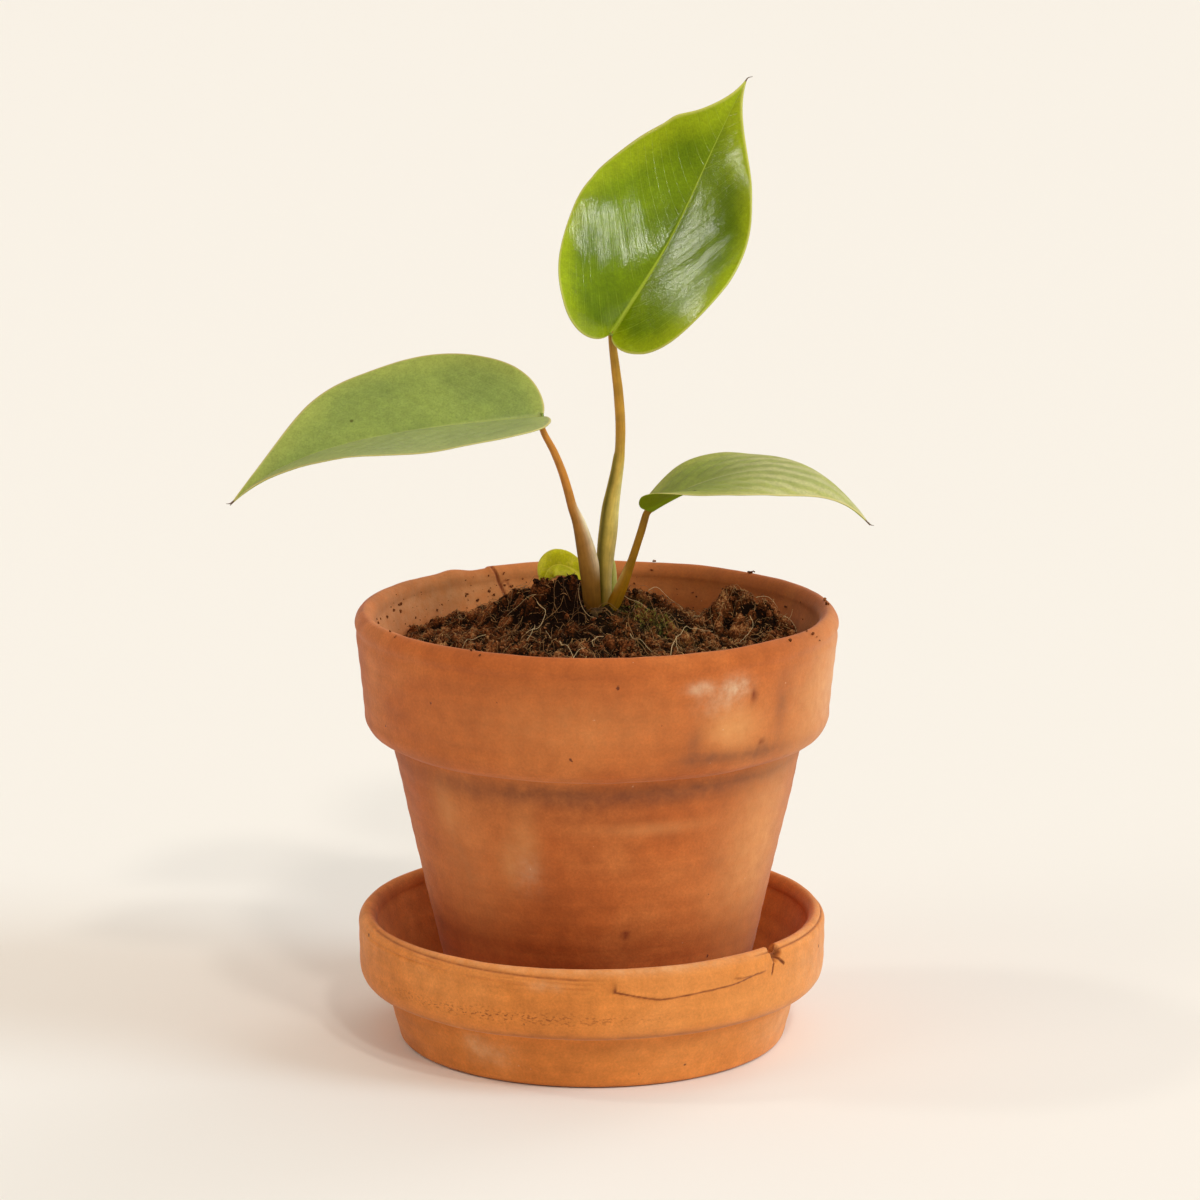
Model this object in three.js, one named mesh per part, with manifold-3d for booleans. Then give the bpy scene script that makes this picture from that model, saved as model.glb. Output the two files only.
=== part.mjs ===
import * as THREE from 'three';
import { mergeVertices } from 'three/addons/utils/BufferGeometryUtils.js';
import Module from 'manifold-3d';

// A young Burle Marx philodendron in a 13 cm terracotta pot that stands in a terracotta saucer.
// Lengths are millimetres and +Z is up. The origin is on the pot's axis, in the plane of the table.
// The plant is seen from -Y, so its left leaf points along -X and its right leaf along +X.

const wasm = await Module();
wasm.setup();

// Clearances and facets

const GAP = 0.3;
const ROUND_SIDES = 56;
const STALK_SIDES = 10;
const ROOT_SIDES = 6;

// Saucer, a shallow dish with a thick rolled lip; its own axis is a little left of the pot's

const SAUCER_CENTRE_X = -1.4;
const SAUCER = {
  base: { radius: 51.2, edge: 1.5 },
  wallFoot: { radius: 52.7, z: 1.5 },
  step: { radius: 56.3, z: 15 },
  bandRadius: 63.3,
  bandRounding: 5.6,
  lip: { radius: 61.1, z: 31.4, halfWidth: 2.35, height: 3.7 },
  floor: { radius: 47.4, z: 7, rounding: 3.2, bendOut: 1 / 3, bendUp: 1 / 4, flatInset: 1 },
};

// Pot, a tapered body under a tall rim band, with a drain hole in its floor

const POT_BASE_Z = SAUCER.floor.z + GAP;
const POT = {
  drainRadius: 9,
  base: { radius: 39.2, edge: 1.8 },
  bodyTop: { radius: 55.6, z: 83.2 },
  band: { rounding: 6.8, lowRadius: 62.7, bottomZ: 83.8 },
  lip: { radius: 62.35, z: 114.4, halfWidth: 2.65, height: 4.1 },
  innerShoulder: { radius: 50.7, z: 83.8 },
  floor: { radius: 34.5, z: POT_BASE_Z + 6, rounding: 2.5 },
};

// Potting soil: a level top that is heaped up round the plant and in lumps at the back

const SOIL_BOTTOM_Z = POT.floor.z + GAP;
const SOIL_LEVEL = 106;
const SOIL_RINGS = 16;
const SOIL_GRAIN = 0.7;
const SOIL_HEAPS = [
  { name: 'broad mound', x: 0, y: 2, height: 7, wide: 26, deep: 20 },
  { name: 'heap round the crown', x: 3, y: 7, height: 4.4, wide: 10, deep: 7 },
  { name: 'ridge behind the left stalk', x: -8, y: 9.5, height: 10.5, wide: 6, deep: 4 },
  { name: 'second lump of the ridge', x: -18.5, y: 14, height: 8.5, wide: 5, deep: 5 },
  { name: 'third lump of the ridge', x: -27, y: 20, height: 6.5, wide: 5, deep: 5 },
  { name: 'end of the ridge', x: -36, y: 27, height: 3.5, wide: 6, deep: 5 },
  { name: 'shoulder right of the crown', x: 14, y: 13, height: 7, wide: 8.5, deep: 6 },
  { name: 'clod on the right', x: 37, y: 19, height: 11, wide: 5.5, deep: 6 },
  { name: 'foot of the clod', x: 47, y: 13, height: 7.5, wide: 4.5, deep: 6 },
];

// Crown: the short rootstock that every stalk grows from, mostly under the soil

const CROWN = { x: 1.1, y: 7.5, topZ: 117.4 };
const CROWN_PROFILE = [
  { z: 117.4, radius: 4.9 },
  { z: 114.5, radius: 5.3 },
  { z: 108, radius: 4.8 },
  { z: 101, radius: 4.3 },
  { z: 95, radius: 3.2 },
  { z: 91, radius: 1.6 },
];
const CROWN_HOLE_RISE = 20;
const ROOTS = {
  count: 7,
  seed: 7,
  topZ: 112,
  stepZ: 2.4,
  start: 1.5,
  reach: 27,
  reachShare: [0.75, 1.15],
  drop: 34,
  spreadPower: 0.8,
  dropPower: 1.6,
  turnJitter: 0.4,
  bend: 0.5,
  thick: 1.4,
  thin: 0.6,
  steps: 7,
  stations: [0, 0.25, 0.5, 0.75, 1],
};
const SOIL_POCKET = { flat: 6.3, blend: 8.2 };

// Stalks, each a row of stations from the crown up: centre, half width across the view, half depth

const STALKS = {
  stalk_top: [
    { at: [2.4, 8.6, 117.7], half: [1.6, 1.7] },
    { at: [2.2, 8.4, 126], half: [1.8, 1.8] },
    { at: [2.2, 8.4, 131.5], half: [2.1, 1.8] },
    { at: [2.5, 8.4, 137], half: [2.3, 1.7] },
    { at: [3.6, 8.3, 144.5], half: [2.2, 1.6] },
    { at: [5.2, 8.3, 152], half: [1.65, 1.4] },
    { at: [6.2, 8.2, 159], half: [1.3, 1.3] },
    { at: [6.5, 8.3, 166], half: [1.25, 1.25] },
    { at: [6.1, 8.6, 174], half: [1.25, 1.25] },
    { at: [4.9, 9.2, 183], half: [1.15, 1.15] },
    { at: [4.2, 9.8, 189], half: [1.05, 1.05] },
  ],
  stalk_left: [
    { at: [-0.6, 4.6, 117.7], half: [2.55, 1.5] },
    { at: [-1.3, 4.3, 125], half: [2.9, 1.6] },
    { at: [-2.9, 3.9, 132], half: [2.65, 1.5] },
    { at: [-4, 3.6, 136.5], half: [2.2, 1.35] },
    { at: [-5.7, 3.3, 142], half: [1.45, 1.2] },
    { at: [-7, 3, 148], half: [1.1, 1.1] },
    { at: [-9, 2.6, 155], half: [1.05, 1.05] },
    { at: [-11.6, 2.3, 162], half: [1, 1] },
    { at: [-14, 2.1, 167], half: [0.9, 0.9] },
  ],
  stalk_right: [
    { at: [4.3, 4.9, 117.7], half: [1.65, 1.4] },
    { at: [5.7, 4.3, 122.8], half: [1.6, 1.3] },
    { at: [7.3, 3.8, 127], half: [1.25, 1.15] },
    { at: [9.9, 3.1, 133.8], half: [1.05, 1] },
    { at: [12.1, 2.5, 140.3], half: [0.95, 0.95] },
    { at: [13.5, 2.3, 143.2], half: [0.9, 0.9] },
  ],
  new_shoot: [
    { at: [4.6, 10.7, 118.1], half: [0.75, 0.75] },
    { at: [4.9, 11.4, 122.5], half: [1.35, 1.3] },
    { at: [5, 11.8, 126.5], half: [1, 1] },
    { at: [5, 12, 130], half: [0.3, 0.3] },
  ],
  stalk_young: [
    { at: [-1.3, 10.7, 117.7], half: [0.9, 0.9] },
    { at: [-2.1, 13.2, 120], half: [0.8, 0.8] },
    { at: [-3.1, 15.3, 121.9], half: [0.7, 0.7] },
  ],
};

// Leaf blades. The midrib is a cubic curve from the stalk to the tip. Angles are degrees and come in
// threes: at the stalk, half way along and at the tip. Values with two entries are right and left,
// seen from above with the tip ahead. Fractions are of the midrib's length or of the half width.

const BLADES = {
  blade_top: {
    midrib: [[4, 8, 191.5], [26, 14, 224], [21, 24, 218.5], [40.5, 31, 257.5]],
    facing: [0.2, -1, 0.25],
    halfWidth: [25, 26],
    widestAt: [0.3, 0.47],
    lobeLength: [0.044, 0.076],
    lobeWidth: [0.87, 1.2],
    taper: { shoulder: 0.54, waist: 0.13, waistAt: 0.78 },
    roll: [-11, -34, -19],
    fold: [34, 15, 24],
    wave: { height: 1.8, count: 2, phase: 0.04 },
    thickness: 0.8,
    ribHeight: 0.9,
    rows: 24,
  },
  blade_left: {
    midrib: [[-14.5, 2, 170], [-41, 0, 167.5], [-78.5, -2, 166.5], [-98, -4, 147]],
    facing: [0, 0, 1],
    halfWidth: [23.5, 23.5],
    widestAt: [0.375, 0.3],
    lobeLength: [0.017, 0.032],
    lobeWidth: [1.03, 0.92],
    taper: { shoulder: 0.585, waist: 0.233, waistAt: 0.7 },
    roll: [-30, -23, -24],
    fold: [26, 20, 28],
    wave: { height: 0.6, count: 2, phase: -0.37 },
    thickness: 0.8,
    ribHeight: 0.9,
    rows: 24,
  },
  blade_right: {
    midrib: [[14.5, 2, 145], [27.5, 2, 152.5], [53.5, 3, 166], [73.5, 4, 140]],
    facing: [0, 0, 1],
    halfWidth: [18.5, 18.5],
    widestAt: [0.345, 0.355],
    lobeLength: [0.043, 0.037],
    lobeWidth: [0.91, 0.945],
    taper: { shoulder: 0.155, waist: 0.17, waistAt: 0.81 },
    roll: [-9, 13, 10],
    fold: [23, -5, -1],
    wave: { height: 0.75, count: 2, phase: 0.43 },
    thickness: 0.8,
    ribHeight: 0.8,
    rows: 24,
  },
  blade_young: {
    midrib: [[-3.6, 16.2, 122.5], [-6.2, 18.5, 125.5], [-13, 20.5, 129.5], [-13.6, 19.6, 118.8]],
    facing: [0, -0.75, 0.65],
    halfWidth: [4.6, 4.6],
    widestAt: [0.5, 0.5],
    lobeLength: [0.02, 0.02],
    lobeWidth: [0.6, 0.6],
    taper: { shoulder: 0.3, waist: 0.2, waistAt: 0.8 },
    roll: [0, 0, 0],
    fold: [30, 16, 10],
    wave: { height: 0.25, count: 1, phase: 0.1 },
    thickness: 0.6,
    ribHeight: 0.3,
    rows: 12,
  },
};
const ACROSS_BLADE = [0, 0.12, 0.32, 0.54, 0.77, 1];
const BLADE_START = 0.06;
const BLADE_END = 0.96;
const ROW_SWEEP = 1.5;
const ROW_BEND = 1.15;
const LOBE_SHARE = 0.42;
const LOBE = { notch: 0.3, startAt: 0.05, startDrop: 0.97, curveDrop: 1.5 };
const WAVE_SHIFT = 0.37;
const RIB = { halfWidth: 1.3, taper: 0.8 };

// Finishes, as seen on the real plant and pot

const finish = (color, roughness) => new THREE.MeshStandardMaterial({ color, roughness, metalness: 0 });
const TERRACOTTA_POT = finish(0xc4743f, 0.85);
const TERRACOTTA_SAUCER = finish(0xcb7a44, 0.85);
const SOIL = finish(0x3d2415, 0.95);
const CROWN_BARK = finish(0x7a5a26, 0.7);
const STALK_GREEN = finish(0xa98a3c, 0.5);
const SHOOT_GREEN = finish(0xa9b84a, 0.5);
const LEAF_GREEN = finish(0x5f8410, 0.3);
const LEAF_PALE = finish(0x869a45, 0.35);
const YOUNG_GREEN = finish(0x9ab81c, 0.4);

// Small tools for geometry

const { clamp, degToRad } = THREE.MathUtils;

/** Points of an elliptical arc in a turned profile, from one angle to another in degrees. */
function arc(centreR, centreZ, halfR, halfZ, from, to, steps) {
  return Array.from({ length: steps + 1 }, (_, i) => {
    const angle = degToRad(from + ((to - from) * i) / steps);
    return new THREE.Vector2(centreR + halfR * Math.cos(angle), centreZ + halfZ * Math.sin(angle));
  });
}

/** A solid turned about Z from its profile of radius and height. */
function turned(profile) {
  return new THREE.LatheGeometry(profile, ROUND_SIDES).rotateX(Math.PI / 2);
}

/** Six times the signed volume of an indexed mesh, which is positive when its faces point out. */
function signedVolume(points, faces) {
  let sum = 0;
  for (let i = 0; i < faces.length; i += 3) {
    const [a, b, c] = [points[faces[i]], points[faces[i + 1]], points[faces[i + 2]]];
    sum += a.dot(b.clone().cross(c));
  }
  return sum;
}

/** A closed mesh from its points and triangles, turned to face outward. */
function closedMesh(points, faces) {
  if (signedVolume(points, faces) < 0) {
    faces.reverse();
  }
  const geometry = new THREE.BufferGeometry().setFromPoints(points);
  geometry.setIndex(faces);
  return geometry;
}

/** The two triangles of a quad, always split along its first diagonal. */
const quad = (a, b, c, d) => [a, b, c, a, c, d];

/** A solid through rings of equal point count, closed at both ends by a fan to the ring's middle. */
function loft(rings) {
  const sides = rings[0].length;
  const points = rings.flat();
  const faces = [];
  for (let i = 0; i + 1 < rings.length; i += 1) {
    for (let j = 0; j < sides; j += 1) {
      const next = (j + 1) % sides;
      faces.push(...quad(i * sides + j, i * sides + next, (i + 1) * sides + next, (i + 1) * sides + j));
    }
  }
  const middle = (ring) => ring.reduce((sum, p) => sum.add(p), new THREE.Vector3()).divideScalar(sides);
  points.push(middle(rings[0]), middle(rings.at(-1)));
  const last = (rings.length - 1) * sides;
  for (let j = 0; j < sides; j += 1) {
    const next = (j + 1) % sides;
    faces.push(points.length - 2, next, j);
    faces.push(points.length - 1, last + j, last + next);
  }
  return closedMesh(points, faces);
}

/** An elliptical ring round a centre, in the plane of two directions. */
function ring(centre, across, along, halfAcross, halfAlong, sides) {
  return Array.from({ length: sides }, (_, i) => {
    const angle = (2 * Math.PI * i) / sides;
    return centre.clone()
      .addScaledVector(across, halfAcross * Math.cos(angle))
      .addScaledVector(along, halfAlong * Math.sin(angle));
  });
}

/** A closed mesh as a solid for joining and cutting. */
function toSolid(geometry) {
  const plain = geometry.clone();
  plain.deleteAttribute('normal');
  plain.deleteAttribute('uv');
  const merged = mergeVertices(plain);
  return new wasm.Manifold(new wasm.Mesh({
    numProp: 3,
    vertProperties: new Float32Array(merged.attributes.position.array),
    triVerts: new Uint32Array(merged.index.array),
  }));
}

/** A solid back as a mesh. */
function toGeometry(solid) {
  const mesh = solid.getMesh();
  const geometry = new THREE.BufferGeometry();
  geometry.setAttribute('position', new THREE.BufferAttribute(mesh.vertProperties, 3));
  geometry.setIndex(new THREE.BufferAttribute(mesh.triVerts, 1));
  return geometry;
}

/** Random numbers from 0 to 1 that are the same on every run. */
function seededRandom(seed) {
  let state = seed;
  return () => {
    state = (state + 0x6d2b79f5) | 0;
    let t = Math.imul(state ^ (state >>> 15), 1 | state);
    t = (t + Math.imul(t ^ (t >>> 7), 61 | t)) ^ t;
    return ((t ^ (t >>> 14)) >>> 0) / 4294967296;
  };
}

// Pot and saucer

/** The saucer: flat base, sloping side, overhanging band, rolled lip and a flat floor. */
function makeSaucer() {
  const { base, wallFoot, step, bandRadius, bandRounding, lip, floor } = SAUCER;
  const bandFoot = bandRadius - bandRounding;
  const profile = [
    new THREE.Vector2(0, 0),
    ...arc(base.radius, wallFoot.z, base.edge, base.edge, -90, -15, 2),
    new THREE.Vector2(step.radius, step.z - 0.5),
    ...arc(bandFoot, step.z + bandRounding, bandRounding, bandRounding, -90, 0, 4),
    ...arc(lip.radius, lip.z, lip.halfWidth, lip.height, 0, 180, 6),
    new THREE.Vector2(floor.radius + floor.rounding, floor.z + floor.rounding),
    new THREE.Vector2(floor.radius + floor.rounding * floor.bendOut, floor.z + floor.rounding * floor.bendUp),
    new THREE.Vector2(floor.radius - floor.flatInset, floor.z),
    new THREE.Vector2(0, floor.z),
  ];
  return turned(profile);
}

/** The pot: a profile that closes on itself round the drain hole in the floor. */
function makePot() {
  const { drainRadius, base, bodyTop, band, lip, innerShoulder, floor } = POT;
  const start = new THREE.Vector2(drainRadius, POT_BASE_Z);
  const bandFoot = band.lowRadius - band.rounding;
  const profile = [
    start,
    ...arc(base.radius - base.edge, POT_BASE_Z + base.edge, base.edge, base.edge, -90, -10, 2),
    new THREE.Vector2(bodyTop.radius, bodyTop.z),
    ...arc(bandFoot, band.bottomZ + band.rounding, band.rounding, band.rounding, -90, 0, 4),
    ...arc(lip.radius, lip.z, lip.halfWidth, lip.height, 0, 180, 6),
    new THREE.Vector2(innerShoulder.radius, innerShoulder.z),
    new THREE.Vector2(floor.radius, floor.z + floor.rounding),
    new THREE.Vector2(floor.radius - floor.rounding, floor.z),
    new THREE.Vector2(drainRadius, floor.z),
    start.clone(),
  ];
  return turned(profile);
}

/** The radius of the pot's inner wall at a height. */
function innerRadius(z) {
  const { innerShoulder, lip, floor } = POT;
  const foot = { radius: floor.radius, z: floor.z + floor.rounding };
  const top = { radius: lip.radius - lip.halfWidth, z: lip.z };
  const [low, high] = z < innerShoulder.z ? [foot, innerShoulder] : [innerShoulder, top];
  return THREE.MathUtils.mapLinear(z, low.z, high.z, low.radius, high.radius);
}

// Soil

/** The fine unevenness of the soil: a few crossed ripples of 7 to 15 mm. */
function soilGrain(x, y) {
  const ripples = Math.sin(0.43 * x + 0.9) * Math.sin(0.51 * y + 0.3)
    + 0.7 * Math.sin(0.83 * x - 0.37 * y)
    + 0.5 * Math.sin(0.61 * x + 0.79 * y + 1.9);
  return SOIL_GRAIN * ripples;
}

/** The height of the soil at a place: heaps over the level, and flat where the crown comes out. */
function soilHeight(x, y) {
  let z = SOIL_LEVEL + soilGrain(x, y);
  for (const heap of SOIL_HEAPS) {
    const [u, v] = [(x - heap.x) / heap.wide, (y - heap.y) / heap.deep];
    z += heap.height * Math.exp(-0.5 * (u * u + v * v));
  }
  const fromCrown = Math.hypot(x - CROWN.x, y - CROWN.y);
  const open = THREE.MathUtils.smoothstep(fromCrown, SOIL_POCKET.flat, SOIL_POCKET.blend);
  return THREE.MathUtils.lerp(CROWN.topZ - GAP, z, open);
}

/** The soil as it fills the pot, with plain holes where the crown and roots stand in it. */
function makeSoil(roots) {
  const wallTop = innerRadius(SOIL_LEVEL) - GAP;
  const circle = (radius, height) => Array.from({ length: ROUND_SIDES }, (_, i) => {
    const angle = (2 * Math.PI * i) / ROUND_SIDES;
    const [x, y] = [radius * Math.cos(angle), radius * Math.sin(angle)];
    return new THREE.Vector3(x, y, height(x, y));
  });
  const topRadii = Array.from({ length: SOIL_RINGS }, (_, i) => (wallTop * (i + 1)) / SOIL_RINGS);
  const top = topRadii.map((radius) => circle(radius, soilHeight));
  const shoulder = circle(innerRadius(POT.innerShoulder.z) - GAP, () => POT.innerShoulder.z);
  const footZ = POT.floor.z + POT.floor.rounding;
  const foot = circle(innerRadius(footZ) - GAP, () => footZ);
  const bottom = circle(innerRadius(footZ) - POT.floor.rounding - GAP, () => SOIL_BOTTOM_Z);
  const body = toSolid(loft([...top, shoulder, foot, bottom]));
  return toGeometry(body.subtract(makeCrownSolid(roots, GAP)));
}

// Crown and roots

/** The middle lines of the roots, spread round the crown by the golden angle. */
function rootPaths() {
  const random = seededRandom(ROOTS.seed);
  const goldenAngle = Math.PI * (3 - Math.sqrt(5));
  return Array.from({ length: ROOTS.count }, (_, i) => {
    const angle = goldenAngle * i + ROOTS.turnJitter * random();
    const reach = ROOTS.reach * THREE.MathUtils.lerp(...ROOTS.reachShare, random());
    const topZ = ROOTS.topZ - ROOTS.stepZ * i;
    const bend = ROOTS.bend * (random() - 0.5);
    const points = ROOTS.stations.map((s) => {
      const turn = angle + bend * s;
      const radius = ROOTS.start + reach * s ** ROOTS.spreadPower;
      const z = topZ - ROOTS.drop * s ** ROOTS.dropPower;
      return new THREE.Vector3(CROWN.x + radius * Math.cos(turn), CROWN.y + radius * Math.sin(turn), z);
    });
    return new THREE.CatmullRomCurve3(points);
  });
}

/** One root, thick at the crown and thin at its end, grown by a margin on every side. */
function makeRoot(path, margin) {
  const { steps } = ROOTS;
  const { tangents, normals, binormals } = path.computeFrenetFrames(steps, false);
  const rings = tangents.map((_, i) => {
    const radius = THREE.MathUtils.lerp(ROOTS.thick, ROOTS.thin, i / steps) + margin;
    return ring(path.getPointAt(i / steps), normals[i], binormals[i], radius, radius, ROOT_SIDES);
  });
  const tip = rings.at(-1).map((p) => p.clone().addScaledVector(tangents.at(-1), margin));
  return loft([...rings.slice(0, -1), tip]);
}

/** Crown and roots as one solid; a margin makes the hole that they stand in. */
function makeCrownSolid(roots, margin) {
  const [across, along] = [new THREE.Vector3(1, 0, 0), new THREE.Vector3(0, 1, 0)];
  const levels = CROWN_PROFILE.map(({ z, radius }) => ({ z, radius: radius + margin }));
  levels.at(-1).z -= margin;
  if (margin > 0) {
    levels.unshift({ z: CROWN.topZ + CROWN_HOLE_RISE, radius: levels[0].radius });
  }
  const rings = levels.map(({ z, radius }) => (
    ring(new THREE.Vector3(CROWN.x, CROWN.y, z), across, along, radius, radius, 2 * STALK_SIDES)
  ));
  return roots.reduce((solid, path) => solid.add(toSolid(makeRoot(path, margin))), toSolid(loft(rings)));
}

// Stalks

/** A stalk through its stations, level at its foot, with its sheath's width across the view. */
function makeStalk(stations) {
  const front = new THREE.Vector3(0, 1, 0);
  const upright = new THREE.Vector3(0, 0, 1);
  const curve = new THREE.CatmullRomCurve3(stations.map(({ at }) => new THREE.Vector3(...at)));
  const rings = stations.map(({ at, half }, i) => {
    const tangent = i === 0 ? upright : curve.getTangent(i / (stations.length - 1));
    const across = front.clone().cross(tangent).normalize();
    const along = tangent.clone().cross(across);
    return ring(new THREE.Vector3(...at), across, along, half[0], half[1], STALK_SIDES);
  });
  return loft(rings);
}

// Leaf blades

/** A smooth value along the leaf from its values at the stalk, half way and at the tip. */
function along3([first, middle, last], k) {
  return first + (-3 * first + 4 * middle - last) * k + (2 * first - 4 * middle + 2 * last) * k * k;
}

/** The shape of one heart-shaped leaf blade: midrib, outline, fold along the rib and waved edge. */
class BladeShape {
  constructor(shape) {
    Object.assign(this, shape);
    this.curve = new THREE.CubicBezierCurve3(...shape.midrib.map((p) => new THREE.Vector3(...p)));
    this.curve.arcLengthDivisions = 400;
    this.length = this.curve.getLength();
    this.outlines = [0, 1].map((side) => this.halfOutline(side));
  }

  /** The two curves of one half's outline: round the basal lobe, then from the widest place to the tip. */
  halfOutline(side) {
    const [width, reach] = [this.halfWidth[side], this.widestAt[side] * this.length];
    const lobe = LOBE.curveDrop * this.lobeLength[side] * this.length;
    const { shoulder, waist, waistAt } = this.taper;
    const point = (x, y) => new THREE.Vector2(x, y);
    return {
      lobe: new THREE.CubicBezierCurve(
        point(LOBE.notch, 0),
        point(LOBE.startAt * width, -LOBE.startDrop * lobe),
        point(this.lobeWidth[side] * width, -lobe),
        point(width, reach),
      ),
      blade: new THREE.CubicBezierCurve(
        point(width, reach),
        point(width, reach + shoulder * (this.length - reach)),
        point(waist * width, waistAt * this.length),
        point(0, this.length),
      ),
    };
  }

  /** The outline's distance from the midrib and along it. */
  margin(t, side) {
    const { lobe, blade } = this.outlines[side];
    return t < LOBE_SHARE
      ? lobe.getPoint(t / LOBE_SHARE)
      : blade.getPoint((t - LOBE_SHARE) / (1 - LOBE_SHARE));
  }

  /** The midrib's point at a distance along it, with the directions of the blade there. */
  frameAt(distance) {
    const k = clamp(distance / this.length, 0, 1);
    const tangent = this.curve.getTangentAt(k);
    const point = this.curve.getPointAt(k).addScaledVector(tangent, Math.min(distance, 0));
    const facing = new THREE.Vector3(...this.facing);
    const level = facing.addScaledVector(tangent, -facing.dot(tangent)).normalize();
    const up = level.applyAxisAngle(tangent, degToRad(along3(this.roll, k)));
    return { point, up, right: tangent.clone().cross(up) };
  }

  /** A point of the middle surface: t runs round the outline and q from the midrib to the margin. */
  surface(t, q, side) {
    const edge = this.margin(t, side);
    const ribStart = this.length * t ** ROW_SWEEP;
    const [across, distance] = [q * edge.x, ribStart + (edge.y - ribStart) * q ** ROW_BEND];
    const { point, up, right } = this.frameAt(distance);
    const k = clamp(distance / this.length, -0.1, 1);
    const fold = degToRad(along3(this.fold, k));
    const swing = Math.sin(2 * Math.PI * (this.wave.count * k + this.wave.phase + WAVE_SHIFT * side));
    const lift = this.wave.height * swing * q * q * clamp(edge.x / this.halfWidth[side], 0, 1);
    const sideways = side === 0 ? across : -across;
    return point.addScaledVector(right, sideways * Math.cos(fold))
      .addScaledVector(up, across * Math.sin(fold) + lift);
  }

  /** The upward normal of the surface at a point. */
  normal(t, q, side) {
    const step = 0.01;
    const inner = Math.max(q - step, 0);
    const sideways = this.surface(t, inner + step, side).sub(this.surface(t, inner, side));
    const forward = this.surface(t + step, q, side).sub(this.surface(t - step, q, side));
    const normal = sideways.cross(forward).normalize();
    return side === 0 ? normal : normal.negate();
  }
}

/** A blade of even thickness with a raised midrib under it, closed at the stalk and at the tip. */
function makeBlade(shape) {
  const blade = new BladeShape(shape);
  const outward = ACROSS_BLADE.slice(1);
  const columns = [...outward.toReversed().map((q) => [q, 1]), [0, 0], ...outward.map((q) => [q, 0])];
  const points = [];
  for (let i = 0; i <= shape.rows; i += 1) {
    const t = BLADE_START + ((BLADE_END - BLADE_START) * i) / shape.rows;
    for (const [q, side] of columns) {
      const centre = blade.surface(t, q, side);
      const normal = q > 0
        ? blade.normal(t, q, side)
        : blade.normal(t, 0, 0).add(blade.normal(t, 0, 1)).normalize();
      const across = q * blade.margin(t, side).x;
      const rib = shape.ribHeight * (1 - RIB.taper * t) * Math.exp(-((across / RIB.halfWidth) ** 2));
      points.push(centre.clone().addScaledVector(normal, shape.thickness / 2));
      points.push(centre.clone().addScaledVector(normal, -shape.thickness / 2 - rib));
    }
  }
  points.push(blade.frameAt(blade.length).point);

  const width = columns.length;
  const top = (i, j) => 2 * (i * width + j);
  const under = (i, j) => top(i, j) + 1;
  const tip = points.length - 1;
  const [lastRow, lastColumn] = [shape.rows, width - 1];
  const faces = [];
  for (let j = 0; j < lastColumn; j += 1) {
    for (let i = 0; i < lastRow; i += 1) {
      faces.push(...quad(top(i, j), top(i, j + 1), top(i + 1, j + 1), top(i + 1, j)));
      faces.push(...quad(under(i, j), under(i + 1, j), under(i + 1, j + 1), under(i, j + 1)));
    }
    faces.push(...quad(top(0, j), under(0, j), under(0, j + 1), top(0, j + 1)));
    faces.push(top(lastRow, j), top(lastRow, j + 1), tip, under(lastRow, j + 1), under(lastRow, j), tip);
  }
  for (let i = 0; i < lastRow; i += 1) {
    faces.push(...quad(top(i, 0), top(i + 1, 0), under(i + 1, 0), under(i, 0)));
    const edge = [top(i, lastColumn), under(i, lastColumn), under(i + 1, lastColumn), top(i + 1, lastColumn)];
    faces.push(...quad(...edge));
  }
  faces.push(top(lastRow, 0), tip, under(lastRow, 0));
  faces.push(top(lastRow, lastColumn), under(lastRow, lastColumn), tip);
  return closedMesh(points, faces);
}

// The whole plant

const plant = new THREE.Group();

/** Adds one named piece. */
function add(name, geometry, material) {
  const mesh = new THREE.Mesh(geometry, material);
  mesh.name = name;
  plant.add(mesh);
  return mesh;
}

const roots = rootPaths();
add('saucer', makeSaucer(), TERRACOTTA_SAUCER).position.x = SAUCER_CENTRE_X;
add('pot', makePot(), TERRACOTTA_POT);
add('potting_soil', makeSoil(roots), SOIL);
add('crown_and_roots', toGeometry(makeCrownSolid(roots, 0)), CROWN_BARK);

const stalkFinish = { new_shoot: SHOOT_GREEN, stalk_young: SHOOT_GREEN };
for (const [name, stations] of Object.entries(STALKS)) {
  add(name, makeStalk(stations), stalkFinish[name] ?? STALK_GREEN);
}

const bladeFinish = {
  blade_top: LEAF_GREEN,
  blade_left: LEAF_PALE,
  blade_right: LEAF_PALE,
  blade_young: YOUNG_GREEN,
};
for (const [name, shape] of Object.entries(BLADES)) {
  add(name, makeBlade(shape), bladeFinish[name]);
}

export default plant;
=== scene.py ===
"""A young Burle Marx philodendron in a terracotta pot and saucer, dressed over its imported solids.

Each class is one sub-assembly of the real plant: it holds its sizes in millimetres, builds its surfaces
as numpy grids and gives them their finish. Meshes are in metres, with Z up and the pot's axis at the origin.
"""

import itertools
import logging
import math
from dataclasses import dataclass
from enum import Enum
from functools import partial
from typing import Any, Callable, ClassVar, Sequence

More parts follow.
